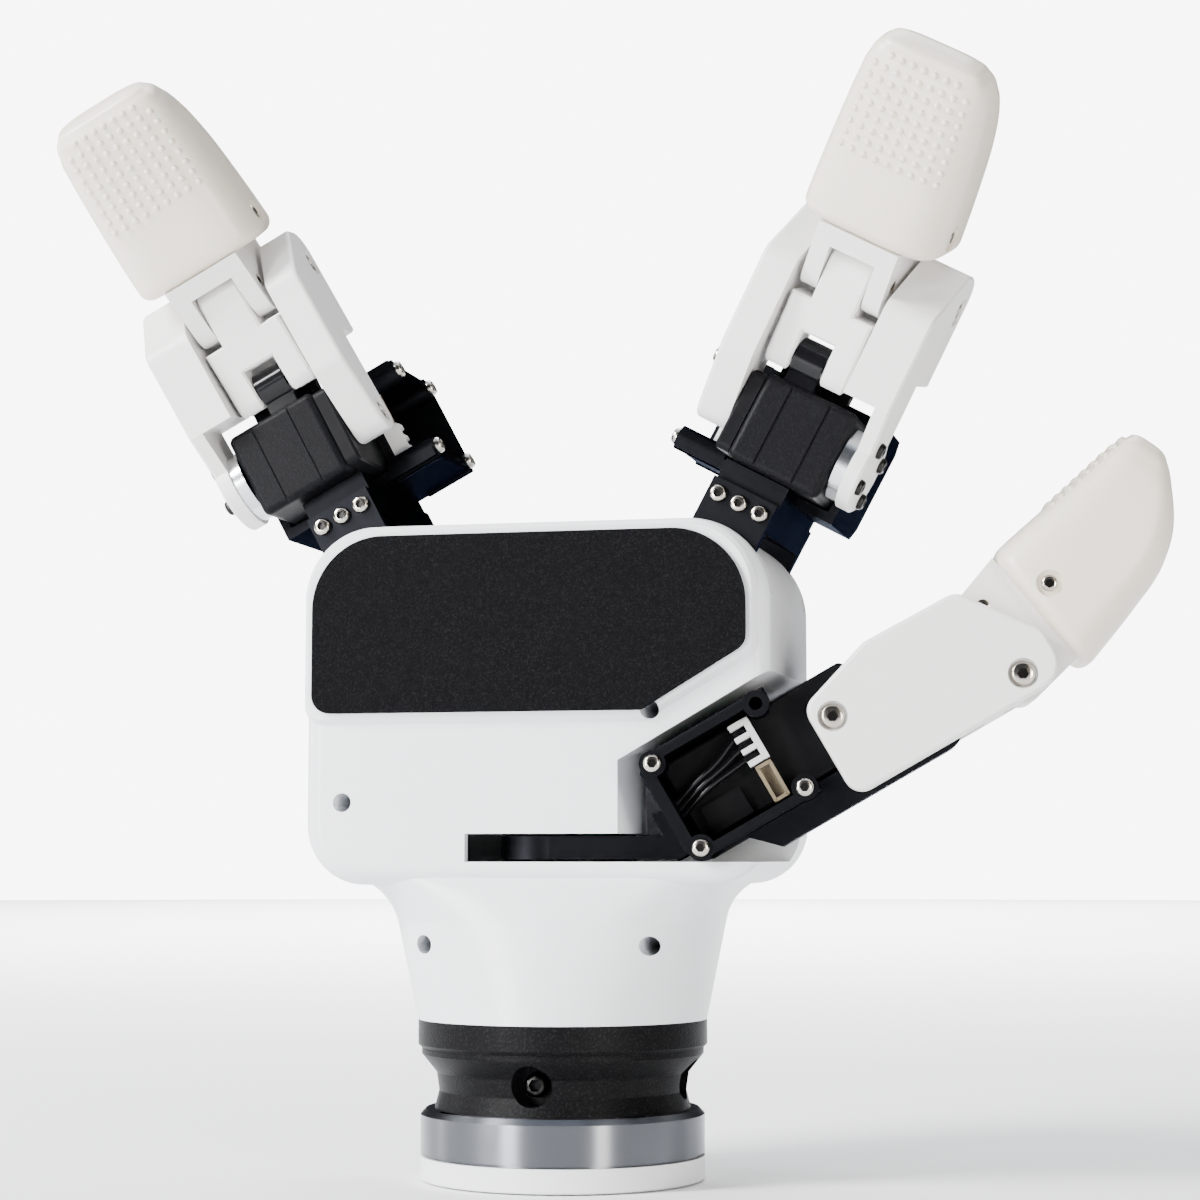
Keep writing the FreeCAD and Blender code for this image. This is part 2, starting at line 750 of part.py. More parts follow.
def make_inner_works():
    """Spread and thumb servos, the shelf that carries them, and the control board."""
    for side, label in ((-1, "left_spread_servo"), (1, "right_spread_servo")):
        body = new_body(label)
        outer = f"{side} * ({SPREAD_X} + servo_axis_inset)"
        inner = f"{side} * ({SPREAD_X} + servo_axis_inset - servo_length)"
        low = f"{SPREAD_Z} - servo_height / 2"
        high = f"{SPREAD_Z} + servo_height / 2"
        prism(body, [(inner, low, "case_round"), (outer, low, "case_round"),
                     (outer, high, "case_round"), (inner, high, "case_round")],
              "- servo_depth / 2", "servo_depth / 2", "XZ_Plane")
        spot = [(f"{side} * ({SPREAD_X})", SPREAD_Z)]
        face = "plate_face - plate_thickness - horn_gap"
        discs(body, [spot[0] + ("servo_boss_radius * 2",)], f"- ({face})", face, "XZ_Plane")
        discs(body, [spot[0] + ("pivot_pin",)], "- plate_face", "plate_face", "XZ_Plane")
        keep(label, body)

    servo = new_body("thumb_swing_servo")
    near = "thumb_axis_y - servo_axis_inset"
    wide = "servo_height / 2"
    prism(servo, [(f"thumb_axis_x - {wide}", near, "case_round"), (f"thumb_axis_x + {wide}", near, "case_round"),
                  (f"thumb_axis_x + {wide}", f"{near} + servo_length", "case_round"),
                  (f"thumb_axis_x - {wide}", f"{near} + servo_length", "case_round")],
          "thumb_servo_bottom", "thumb_servo_bottom + thumb_servo_height")
    discs(servo, [("thumb_axis_x", "thumb_axis_y", "horn_radius * 2")],
          "slot_bottom + slot_height - slot_clearance + horn_gap", "thumb_servo_bottom")
    discs(servo, [("thumb_axis_x", "thumb_axis_y", "pivot_pin")], "slot_bottom", "thumb_servo_bottom")
    keep("thumb_swing_servo", servo)

    shelf_top = f"{SPREAD_Z} - servo_height / 2"
    shelf_low = f"{shelf_top} - shelf_thickness"
    floor = COLLAR_TOP + " + shell_wall"
    chassis = new_body("palm_chassis")
    prism(chassis, [("- shelf_half_width", "- shelf_half_depth"), ("shelf_half_width", "- shelf_half_depth"),
                    ("shelf_half_width", "leg_back"), ("- shelf_half_width", "leg_back")], shelf_low, shelf_top)
    for sign in ("-", ""):
        inner = f"{sign} leg_x" if sign else "leg_x"
        outer = f"{sign} (leg_x + shelf_thickness)" if sign else "leg_x + shelf_thickness"
        prism(chassis, [(inner, "leg_front"), (outer, "leg_front"), (outer, "leg_back"), (inner, "leg_back")],
              floor, shelf_low)
    prism(chassis, [("- leg_x - shelf_thickness", "- leg_back"), ("leg_x + shelf_thickness", "- leg_back"),
                    ("leg_x + shelf_thickness", "leg_back"), ("- leg_x - shelf_thickness", "leg_back")],
          floor, floor + " + shelf_thickness")
    keep("palm_chassis", chassis)

    board = new_body("control_board")
    top = "board_bottom + board_height"
    prism(board, [("- board_half_width", "board_bottom"), ("board_half_width", "board_bottom"),
                  ("board_half_width", top), ("- board_half_width", top)],
          "- leg_front", "board_thickness - leg_front", "XZ_Plane")
    keep("control_board", board)


# Digits
# Digit frame: X along the straight finger, Y to the palm side, Z along the flexion axis,
# with the origin at the flexion axis in the middle of the actuator's case.
# The horn is at +Z on a digit of hand +1 and at -Z on one of hand -1.

BASE_U = "tip_pivot_u + link_pin_reach * cos(tip_bend) - link_pin_rise * sin(tip_bend)"
BASE_V = "tip_pivot_v + link_pin_reach * sin(tip_bend) + link_pin_rise * cos(tip_bend)"
ANCHOR_U = f"{BASE_U} - link_length"
COVER_FACE = "case_half_width + cover_thickness"
IDLER_IN = f"{COVER_FACE} + idler_gap"
IDLER_OUT = f"{IDLER_IN} + idler_arm_thickness"
HORN_IN = "case_half_width + horn_gap"
HORN_OUT = f"{HORN_IN} + horn_thickness"
ARM_OUT = f"{HORN_OUT} + horn_arm_thickness"


def axes_placement(origin, x_axis, y_axis):
    z_axis = x_axis.cross(y_axis)
    matrix = FreeCAD.Matrix(
        x_axis.x, y_axis.x, z_axis.x, origin.x,
        x_axis.y, y_axis.y, z_axis.y, origin.y,
        x_axis.z, y_axis.z, z_axis.z, origin.z,
        0, 0, 0, 1)
    return Placement(matrix)


def turn_about(x, y, angle):
    """Turn in the digit's plane about a point, by an angle in degrees."""
    return Placement(Vector(0, 0, 0), Rotation(Z_AXIS, angle), Vector(x, y, 0))


class Digit:
    """One digit's name, hand, frames and the way its actuator points."""

    def __init__(self, name, hand, base, flexion, thumb):
        self.name = name
        self.hand = hand
        self.base = base
        self.thumb = thumb
        module_turn = 180 if thumb else -90
        self.module = base * Placement(Vector(0, 0, 0), Rotation(Z_AXIS, module_turn))
        self.proximal = base * turn_about(0, 0, flexion)
        pivot_u = size("tip_pivot_u")
        pivot_v = size("tip_pivot_v")
        bent = self.proximal * turn_about(pivot_u, pivot_v, flexion * size("tip_ratio"))
        self.tip = bent * Placement(Vector(pivot_u, pivot_v, 0), Rotation(Z_AXIS, size("tip_bend")))
        swing = flexion * (size("link_ratio") - 1 - size("tip_ratio"))
        linked = bent * turn_about(size(BASE_U), size(BASE_V), swing)
        self.link = linked * Placement(Vector(size(ANCHOR_U), size(BASE_V), 0), Rotation())

    def span(self, low, high):
        """Heights along Z for a stretch given as on a digit of hand +1."""
        if self.hand > 0:
            return low, high
        return f"- ({high})", f"- ({low})"

    def about_centre(self, inner, outer):
        """The two stretches beside the finger's middle plane."""
        middle = f"- {self.hand} * centre_offset"
        return ((f"{middle} + {inner}", f"{middle} + {outer}"),
                (f"{middle} - {outer}", f"{middle} - {inner}"))

    def label(self, piece):
        return f"{self.name}_{piece}"

    def body(self, piece):
        return new_body(self.label(piece))

    def keep(self, piece, item, placement):
        keep(self.label(piece), item, placement)

    def height(self, expression):
        return self.hand * size(expression)


def finger_base(side):
    splay = math.radians(size("splay"))
    along = Vector(side * math.sin(splay), 0, math.cos(splay))
    palmar = Vector(0, -1, 0)
    across = along.cross(palmar)
    pivot = Vector(side * size(SPREAD_X), size("finger_axis_y"), size(SPREAD_Z))
    origin = pivot + along * size("knuckle_reach") + across * (side * size("centre_offset"))
    return axes_placement(origin, along, palmar)


def thumb_base():
    yaw = math.radians(size("thumb_yaw"))
    pitch = math.radians(size("thumb_pitch"))
    outward = Vector(math.cos(yaw), math.sin(yaw), 0)
    along = outward * math.cos(pitch) + Z_AXIS * math.sin(pitch)
    palmar = Z_AXIS * math.cos(pitch) - outward * math.sin(pitch)
    across = along.cross(palmar)
    axis = Vector(size("thumb_axis_x"), size("thumb_axis_y"), size("thumb_axis_height"))
    origin = axis + outward * size("thumb_reach") - across * size("centre_offset")
    return axes_placement(origin, along, palmar)


def make_actuator(digit):
    """Case, cover, frame and screws in the module frame: X away from the horn axis."""
    case = digit.body("actuator_case")
    prism(case, [("- case_near", "- case_half_height"), ("case_far", "- case_half_height"),
                 ("case_far", "case_half_height"), ("- case_near", "case_half_height")],
          "- case_half_width", "case_half_width")
    near = -size("case_near")
    round_edges(case, "case_round", lambda edge: abs(edge.BoundBox.XMin - near) < 1e-3)
    for sign in (-1, 1):
        low = f"{sign} * seam_offset - seam_width / 2"
        high = f"{sign} * seam_offset + seam_width / 2"
        prism(case, [("- case_near", "- case_half_height"), ("- case_near + seam_depth", "- case_half_height"),
                     ("- case_near + seam_depth", "case_half_height"), ("- case_near", "case_half_height")],
              low, high, cut=True)
    low, high = digit.span("case_half_width - horn_shaft_length", "case_half_width")
    discs(case, [("0", "0", "horn_shaft + running_clearance * 2")], low, high, cut=True)
    digit.keep("actuator_case", case, digit.module)

    cover = digit.body("actuator_back_cover")
    low, high = digit.span(f"- ({COVER_FACE})", "- case_half_width")
    edge_near = "- case_near + cover_inset"
    edge_side = "case_half_height - cover_inset"
    prism(cover, [(edge_near, f"- ({edge_side})", "case_round"), ("case_far - cover_inset", f"- ({edge_side})"),
                  ("case_far - cover_inset", edge_side), (edge_near, edge_side, "case_round")], low, high)
    round_edges(cover, "edge_break", flat_at("Z", f"- {digit.hand} * ({COVER_FACE})"), "Chamfer")
    raised = digit.span(f"- ({COVER_FACE} + cover_block_height)", f"- ({COVER_FACE})")
    prism(cover, [("cover_block_near", "cover_block_low"), ("cover_block_far", "cover_block_low"),
                  ("cover_block_far", "cover_block_high"), ("cover_block_near", "cover_block_high")], *raised)
    discs(cover, [("0", "0", "axis_screw + running_clearance * 2")], low, high, cut=True)
    digit.keep("actuator_back_cover", cover, digit.module)

    make_frame(digit)


def make_frame(digit):
    """Tray round the back of the case, open to the idler side, with four screw posts."""
    frame = digit.body("actuator_frame")
    half = "frame_half_height"
    low, high = digit.span("- frame_rim", "frame_horn_face")
    prism(frame, [("frame_near", f"- {half}"), ("frame_far - frame_corner", f"- {half}"),
                  ("frame_far", f"- ({half} - frame_corner)"), ("frame_far", f"{half} - frame_corner"),
                  ("frame_far - frame_corner", half), ("frame_near", half)], low, high)
    round_edges(frame, "edge_break", flat_at("Z", f"- {digit.hand} * frame_rim"), "Chamfer")
    if digit.thumb:
        # Belly plate along the back of the thumb, under its proximal link
        inside = "case_half_height + frame_gap"
        prism(frame, [("- belly_front", inside), ("belly_back + belly_depth - frame_half_height", inside),
                      ("belly_back + belly_depth - frame_half_height", half),
                      ("belly_back", "belly_depth"), ("- belly_front", "belly_depth", "frame_corner")],
              *digit.span("- case_half_width - plate_thickness", "arm_gap - centre_offset - horn_gap * 2"))
    inner = "case_half_height + frame_gap"
    low, high = digit.span("- frame_rim", "case_half_width + frame_gap")
    prism(frame, [("frame_near", f"- ({inner})"), ("frame_far - frame_end_wall", f"- ({inner})"),
                  ("frame_far - frame_end_wall", inner), ("frame_near", inner)], low, high, cut=True)
    low, high = digit.span("- frame_rim", "- frame_post_foot")
    spots = [(x, f"{sign} * frame_screw_row") for x in ("frame_screw_near", "frame_screw_far") for sign in (-1, 1)]
    discs(frame, [spot + ("frame_post",) for spot in spots], low, high)
    screws = []
    empty_spot = 0 if digit.thumb else None
    for i, (x, y) in enumerate(spots):
        if i == empty_spot:
            discs(frame, [(x, y, "screw_shank")], *digit.span("- frame_rim", "- frame_post_foot"), cut=True)
            continue
        outward = Vector(0, 0, -digit.hand)
        seat = Vector(size(x), size(y), -digit.height("frame_rim"))
        screws.append(cylinder(digit.label(f"frame_screw_{i}"), "small_head / 2", "small_head_height",
                               facing(seat, outward)))
    if not digit.thumb:
        middle = f"- {digit.hand} * centre_offset"
        front = "finger_axis_y - plate_thickness + plate_face"
        front = f"- ({front})"
        back = "plate_face - plate_thickness - finger_axis_y"
        prism(frame, [(front, "- foot_bottom"), (back, "- foot_bottom"),
                      (back, f"- ({inner})"), (front, f"- ({inner})")],
              f"{middle} - foot_half_width", f"{middle} + foot_half_width")
        screws += plate_screws(digit)
    digit.keep("actuator_frame", frame, digit.module)
    digit.keep("frame_screws", group(digit.label("frame_screws"), screws), digit.module)


PLATE_FRONT = "plate_face + finger_axis_y"
PLATE_REAR = "plate_face - finger_axis_y"


def plate_screws(digit):
    """Three button heads on each knuckle plate, in the module frame."""
    items = []
    row = -size("foot_bottom - plate_screw_drop")
    for depth, outward in ((-size(PLATE_FRONT), Vector(-1, 0, 0)), (size(PLATE_REAR), Vector(1, 0, 0))):
        for step in (-1, 0, 1):
            across = -digit.hand * size("centre_offset") + step * size("plate_screw_pitch")
            items.append(cylinder(digit.label("plate_screw"), "small_head / 2", "small_head_height",
                                  facing(Vector(depth, row, across), outward)))
    return items


def make_plates(digit):
    """Front and rear plates from the palm's spread pivot to the actuator's frame."""
    middle = f"- {digit.hand} * centre_offset"
    pivot = "- knuckle_reach"
    top = "plate_length - knuckle_reach"
    faces = {"knuckle_front_plate": (PLATE_FRONT, -1), "knuckle_rear_plate": (f"- ({PLATE_REAR})", 1)}
    for piece, (face, inward) in faces.items():
        plate = digit.body(piece)
        low, high = face, f"{face} + plate_thickness"
        if inward < 0:
            low, high = f"{face} - plate_thickness", face
        # The XZ plane's normal is -Y, so heights over it are palm-side distances turned round
        low, high = f"- ({high})", f"- ({low})"
        edge = "plate_width / 2"
        prism(plate, [(pivot, f"{middle} - {edge}"), (top, f"{middle} - {edge}"),
                      (top, f"{middle} + {edge}"), (pivot, f"{middle} + {edge}")], low, high, "XZ_Plane")
        discs(plate, [(pivot, middle, "plate_width")], low, high, "XZ_Plane")
        discs(plate, [(pivot, middle, "pivot_pin + running_clearance * 2")], low, high, "XZ_Plane", cut=True)
        digit.keep(piece, plate, digit.base)


def make_swing_arm(digit):
    """Thumb arm in the palm's slot, with a leaning flange that carries the frame."""
    arm = new_body("thumb_arm_bar")
    low = "slot_bottom + slot_clearance"
    high = "slot_bottom + slot_height - slot_clearance"
    reach = "thumb_reach - (frame_far + plate_thickness / 2) * cos(thumb_pitch) + foot_half_width * sin(thumb_pitch)"
    prism(arm, [("0", "- foot_half_width"), (reach, "- foot_half_width"),
                (reach, "foot_half_width"), ("0", "foot_half_width")], low, high)
    discs(arm, [("0", "0", "horn_radius * 2")], low, high)
    discs(arm, [("0", "0", "pivot_pin + running_clearance * 2")], low, high, cut=True)
    arm.Placement = Placement(Vector(size("thumb_axis_x"), size("thumb_axis_y"), 0),
                              Rotation(Z_AXIS, size("thumb_yaw")))
    flange = new_body("thumb_arm_flange")
    middle = f"- {digit.hand} * centre_offset"
    edge = "frame_half_height - frame_corner"
    prism(flange, [("- frame_far - plate_thickness", f"- ({edge})"), ("- frame_far", f"- ({edge})"),
                   ("- frame_far", "foot_half_width * 0.2"),
                   ("- frame_far - plate_thickness", "foot_half_width * 0.2")],
          f"{middle} - foot_half_width", f"{middle} + foot_half_width")
    flange.Placement = digit.base
    digit.keep("swing_arm", joined("thumb_swing_arm", [arm, flange]), None)


def make_lead(digit):
    """White plug and its three wires, which draw together and run to the frame's end wall."""
    face = size(COVER_FACE)
    hand = digit.hand
    plug = digit.body("lead_plug")
    low, high = digit.span(f"- ({COVER_FACE} + plug_height)", f"- ({COVER_FACE})")
    lower = "- plug_offset - plug_half_width"
    upper = "- plug_offset + plug_half_width"
    prism(plug, [("plug_near", lower), ("plug_near + plug_length", lower),
                 ("plug_near + plug_length", upper), ("plug_near", upper)], low, high)
    items = [plug]
    start_x = size("plug_near + plug_length")
    level = face + size("plug_height") / 2
    reach = size("frame_far - frame_end_wall - frame_gap") - start_x
    for step in (-1, 0, 1):
        offset = step * size("wire_pitch")
        start = Vector(start_x, -size("plug_offset") + offset, -hand * level)
        gather = step * size("wire_bundle_pitch")
        waypoint = Vector(start_x + reach * 0.55, gather - 2.1, start.z)
        end = Vector(start_x + reach, gather + 0.6, -hand * (level - 1.4))
        curve = Part.BSplineCurve()
        curve.interpolate([start, waypoint, end], InitialTangent=Vector(1, 0, 0), FinalTangent=Vector(1, 0.2, 0))
        path = Part.Wire([curve.toShape()])
        profile = Part.Wire([Part.Circle(start, Vector(1, 0, 0), size("wire_diameter") / 2).toShape()])
        wire = doc.addObject("Part::Feature", digit.label("lead_wire"))
        wire.Shape = path.makePipeShell([profile], True, True)
        items.append(wire)
    digit.keep("actuator_lead", group(digit.label("actuator_lead"), items), digit.module)


def make_anchor(digit):
    """Black lug on the actuator's case that the coupler swings on."""
    anchor = digit.body("linkage_anchor")
    foot = "case_near" if digit.thumb else "case_half_height"
    middle = f"- {digit.hand} * centre_offset"
    low, high = f"{middle} - lug_half_width", f"{middle} + lug_half_width"
    prism(anchor, [(foot, f"{BASE_V} - lug_foot"), (f"{foot} + lug_gap * 4", f"{BASE_V} - lug_foot"),
                   (ANCHOR_U, f"{BASE_V} - lug_foot / 2"), (ANCHOR_U, f"{BASE_V} + lug_pin"),
                   (foot, f"{BASE_V} + lug_pin")], low, high)
    discs(anchor, [(ANCHOR_U, BASE_V, "lug_radius * 2")], low, high)
    if not digit.thumb:
        # Hood across the case behind the lug
        prism(anchor, [(foot, f"{BASE_V} - lug_foot - hood_depth"),
                       (f"{foot} + hood_rise", f"{BASE_V} - lug_foot - hood_depth"),
                       (f"{foot} + hood_rise", f"{BASE_V} - lug_foot"), (foot, f"{BASE_V} - lug_foot")],
              *digit.span("- case_half_width", "arm_gap - centre_offset - hood_gap"))
    discs(anchor, [(ANCHOR_U, BASE_V, "lug_pin")],
          f"{middle} - link_half_width + lug_gap", f"{middle} + link_half_width - lug_gap")
    digit.keep("linkage_anchor", anchor, digit.base)


def arm_outline(digit, root=None):
    """Side outline of the proximal link; the fingers' is stepped to clear their frame."""
    heel = "- arm_heel"
    front = [("arm_shoulder_u", "arm_shoulder_v", "arm_big_round"), ("arm_crest_u", "arm_crest_v", "arm_round"),
             ("arm_end_u", "arm_end_v", "arm_round"), ("arm_end_u", "arm_back_v", "arm_big_round")]
    if root is not None:
        front[0] = (root, "arm_shoulder_v")
    step = [("arm_step_u", "arm_back_v"), ("arm_step_u", "arm_step_v")]
    if root is not None:
        return step + [(root, "arm_step_v")] + front
    if digit.thumb:
        return [(heel, "arm_back_v", "arm_round"), (heel, "arm_heel", "arm_round")] + front
    return step + [(heel, "arm_step_v", "arm_round"), (heel, "arm_heel", "arm_round")] + front


def make_proximal(digit):
    """Horn, two-armed proximal link and its screws."""
    horn = digit.body("output_horn")
    discs(horn, [("0", "0", "horn_radius * 2")], *digit.span(HORN_IN, HORN_OUT))
    discs(horn, [("0", "0", "horn_shaft")],
          *digit.span("case_half_width - horn_shaft_length + horn_gap", HORN_IN))
    digit.keep("output_horn", horn, digit.proximal)

    link = digit.body("proximal_link")
    idler = digit.span(f"- ({IDLER_OUT})", f"- ({IDLER_IN})")
    prism(link, arm_outline(digit), *idler)
    round_edges(link, "edge_break * 2", flat_at("Z", f"- {digit.hand} * ({IDLER_OUT})"))
    web = digit.span(f"- ({IDLER_IN})", "arm_gap - centre_offset")
    web_start = "thumb_web_u" if digit.thumb else "arm_step_u"
    prism(link, [(web_start, "arm_back_v"), ("web_end_u", "arm_back_v"),
                 ("web_end_u", "arm_back_v + web_thickness"), (web_start, "arm_back_v + web_thickness")], *web)
    prism(link, arm_outline(digit, "arm_root_u"), *digit.span("arm_gap - centre_offset", ARM_OUT))
    thin = digit.span(HORN_OUT, ARM_OUT)
    prism(link, [("0", "arm_step_v"), ("arm_root_u", "arm_step_v"),
                 ("arm_root_u", "arm_shoulder_v"), ("0", "arm_shoulder_v - arm_round")], *thin)
    discs(link, [("0", "0", "horn_arm_radius * 2")], *thin)
    round_edges(link, "edge_break", flat_at("Z", f"{digit.hand} * ({ARM_OUT})"), "Chamfer")
    recess = digit.span(f"- ({IDLER_OUT})", f"- ({IDLER_OUT} - axis_screw_recess)")
    discs(link, [("0", "0", "axis_screw_head"), ("tip_pivot_u", "tip_pivot_v", "axis_screw_head")], *recess, cut=True)
    recess = digit.span(f"{ARM_OUT} - axis_screw_recess", ARM_OUT)
    discs(link, [("tip_pivot_u", "tip_pivot_v", "axis_screw_head")], *recess, cut=True)
    discs(link, [("0", "0", "axis_screw"), ("tip_pivot_u", "tip_pivot_v", "axis_screw")], *idler, cut=True)
    discs(link, [("tip_pivot_u", "tip_pivot_v", "axis_screw")],
          *digit.span("arm_gap - centre_offset", ARM_OUT), cut=True)
    digit.keep("proximal_link", link, digit.proximal)

    inward = Vector(0, 0, digit.hand)
    screws = []
    for quarter in range(4):
        angle = math.radians(size("horn_screw_turn") + 90 * quarter)
        ring = size("horn_screw_circle") / 2
        seat = Vector(ring * math.cos(angle), ring * math.sin(angle), digit.height(ARM_OUT))
        screws.append(cylinder(digit.label("horn_screw"), "horn_screw_head / 2", "horn_screw_height",
                               facing(seat, inward)))
    seats = [
        (Vector(0, 0, -digit.height(f"{IDLER_OUT} - axis_screw_recess")), -inward,
         f"{IDLER_OUT} - axis_screw_recess - case_half_width - horn_gap"),
        (Vector(size("tip_pivot_u"), size("tip_pivot_v"), -digit.height(f"{IDLER_OUT} - axis_screw_recess")), -inward,
         f"{IDLER_OUT} - axis_screw_recess - centre_offset - bracket_half_width + web_thickness"),
        (Vector(size("tip_pivot_u"), size("tip_pivot_v"), digit.height(f"{ARM_OUT} - axis_screw_recess")), inward,
         f"{ARM_OUT} - axis_screw_recess + centre_offset - bracket_half_width + web_thickness"),
    ]
    for seat, outward, grip in seats:
        screws.append(button_screw(digit.label("pivot_screw"), seat, outward, "axis_screw_head - slot_clearance",
                                   "axis_screw_recess - horn_gap", "axis_screw", grip))
    digit.keep("proximal_screws", group(digit.label("proximal_screws"), screws), digit.proximal)


def make_coupler(digit):
    """T-shaped coupler: forked on the anchor's lug, tongued in the distal bracket."""
    link = digit.body("coupler_link")
    thick = "link_half_thickness"
    middle = f"- {digit.hand} * centre_offset"
    prism(link, [("link_body_start", f"- {thick}"), ("tongue_start", f"- {thick}"),
                 ("tongue_start", thick), ("link_body_start", thick)],
          f"{middle} - link_half_width", f"{middle} + link_half_width")
    for low, high in digit.about_centre("(lug_half_width + lug_gap)", "link_half_width"):
        prism(link, [("fork_shift", f"- {thick}"), ("link_body_start", f"- {thick}"),
                     ("link_body_start", thick), ("fork_shift", thick)], low, high)
        discs(link, [("fork_shift", "0", f"{thick} * 2")], low, high)
    tongue = (f"{middle} - tongue_half_width", f"{middle} + tongue_half_width")
    prism(link, [("tongue_start", f"- {thick}"), ("link_length", f"- {thick}"),
                 ("link_length", thick), ("tongue_start", thick)], *tongue)
    discs(link, [("link_length", "0", f"{thick} * 2")], *tongue)
    round_edges(link, "edge_break", flat_at("Y", thick), "Chamfer")
    discs(link, [("link_length", "0", "tip_pin + running_clearance * 2")], *tongue, cut=True)
    side = "eye_side + lug_pin / 2"
    prism(link, [("- link_half_thickness - eye_back", f"- ({side})"), ("eye_front + lug_pin / 2", f"- ({side})"),
                 ("eye_front + lug_pin / 2", side), ("- link_half_thickness - eye_back", side)],
          f"{middle} - link_half_width", f"{middle} + link_half_width", cut=True)
    digit.keep("coupler_link", link, digit.link)


TIP_STATIONS = (
    # share of length, crown, back, half width, as shares of the tip's own sizes
    (0.10, 1.08, 0.92, 1.00),
    (0.30, 1.00, 0.98, 1.00),
    (0.49, 0.91, 1.035, 0.985),
    (0.675, 0.815, 1.00, 0.945),
    (0.80, 0.755, 0.73, 0.90),
    (0.893, 0.70, 0.31, 0.85),
    (0.96, 0.60, -0.055, 0.75),
    (1.00, 0.45, -0.34, 0.58),
)


def tip_body_shape(middle):
    """Loft of rounded cross-sections along the fingertip, in the tip frame."""
    sections = []
    for share, crown, back, width in TIP_STATIONS:
        top = crown * size("tip_crown")
        low = -back * size("tip_back")
        half = width * size("tip_half_width")
        points = []
        for step in range(16):
            angle = 2 * math.pi * (step + 0.5) / 16
            c = math.cos(angle)
            s = math.sin(angle)
            y = (top + low) / 2 + (top - low) / 2 * math.copysign(abs(c) ** 0.52, c)
            z = middle + half * math.copysign(abs(s) ** 0.52, s)
            points.append(Vector(share * size("tip_length"), y, z))
        curve = Part.BSplineCurve()
        curve.interpolate(points, PeriodicFlag=True)
        sections.append(Part.Wire([curve.toShape()]))
    return Part.makeLoft(sections, True, False)


def make_tip(digit):
    """Distal bracket with its core, fingertip and screws, in the tip frame."""
    middle = f"- {digit.hand} * centre_offset"
    wide = (f"{middle} - bracket_half_width", f"{middle} + bracket_half_width")
    bracket = digit.body("distal_bracket")
    heel = "bracket_heel"
    prism(bracket, [(f"- {heel}", f"- {heel}", "arm_round"), ("tip_base_bottom", f"- {heel} - 2.5"),
                    ("tip_base_top", "bracket_crest - 1"), ("link_pin_reach - 5.4", "bracket_crest", "lug_radius"),
                    (f"- {heel}", "arm_round", "arm_round")], *wide)
    prism(bracket, [("tip_base_bottom", "core_bottom"), ("core_end", "core_bottom", "arm_round"),
                    ("core_end", "core_top", "arm_round"), ("tip_base_bottom", "core_top")], *wide)
    slot = (f"{middle} - bracket_slot_half", f"{middle} + bracket_slot_half")
    prism(bracket, [("- bracket_heel * 2", "bracket_slot_floor"), ("bracket_slot_end", "bracket_slot_floor"),
                    ("bracket_slot_end", "bracket_crest * 1.2"), ("- bracket_heel * 2", "bracket_crest * 1.2")],
          *slot, cut=True)
    discs(bracket, [("link_pin_reach", "link_pin_rise", "tip_pin")], *wide, cut=True)
    discs(bracket, [("0", "0", "axis_screw + running_clearance * 2")], *wide, cut=True)
    digit.keep("distal_bracket", bracket, digit.tip)

    middle_value = -digit.hand * size("centre_offset")
    soft = doc.addObject("Part::Feature", digit.label("tip_form"))
    soft.Shape = tip_body_shape(middle_value)
    base_cut = digit.body("tip_base_cut")
    slope = "((tip_base_top - tip_base_bottom) / (bracket_crest - 1 + bracket_heel + 2.5))"
    far_low = f"tip_base_bottom - {slope} * tip_back * 2"
    far_high = f"tip_base_top + {slope} * tip_back"
    prism(base_cut, [("- tip_length", "- bracket_heel - 2.5 - tip_back * 2"), (far_low, "- bracket_heel - 2.5 - tip_back * 2"),
                     (far_high, "bracket_crest - 1 + tip_back"), ("- tip_length", "bracket_crest - 1 + tip_back")],
          f"{middle} - tip_half_width * 2", f"{middle} + tip_half_width * 2")
    core_cut = digit.body("tip_core_cut")
    prism(core_cut, [("- tip_base_bottom", "core_bottom"), ("core_end", "core_bottom", "arm_round"),
                     ("core_end", "core_top", "arm_round"), ("- tip_base_bottom", "core_top")], *wide)
    side_recess = []
    for sign in (-1, 1):
        seat = Vector(size("tip_screw_x"), size("tip_screw_y"),
                      middle_value + sign * size("tip_half_width - small_head_height"))
        side_recess.append(cylinder(digit.label("tip_screw_recess"), "tip_screw_head / 2 + frame_gap", "small_head_height * 2",
                                    facing(seat, Vector(0, 0, sign))))
    tools = joined(digit.label("tip_cuts"), [base_cut, core_cut] + side_recess)
    digit.keep("fingertip", cut_from(digit.label("fingertip"), soft, tools), digit.tip)

    screws = []
    pin = facing(Vector(size("link_pin_reach"), size("link_pin_rise"), middle_value - size("bracket_half_width")), Z_AXIS)
    screws.append(cylinder(digit.label("link_pin"), "tip_pin / 2", "bracket_half_width * 2", pin))
    for sign in (-1, 1):
        seat = Vector(size("tip_screw_x"), size("tip_screw_y"),
                      middle_value + sign * size("tip_half_width - small_head_height"))
        screws.append(cylinder(digit.label("tip_screw"), "tip_screw_head / 2", "small_head_height - frame_gap",
                               facing(seat, Vector(0, 0, sign))))
    digit.keep("tip_screws", group(digit.label("tip_screws"), screws), digit.tip)


def make_digit(digit):
    make_actuator(digit)
    if digit.thumb:
        make_swing_arm(digit)
    else:
        make_plates(digit)
    make_lead(digit)
    make_anchor(digit)
    make_proximal(digit)
    make_coupler(digit)
    make_tip(digit)


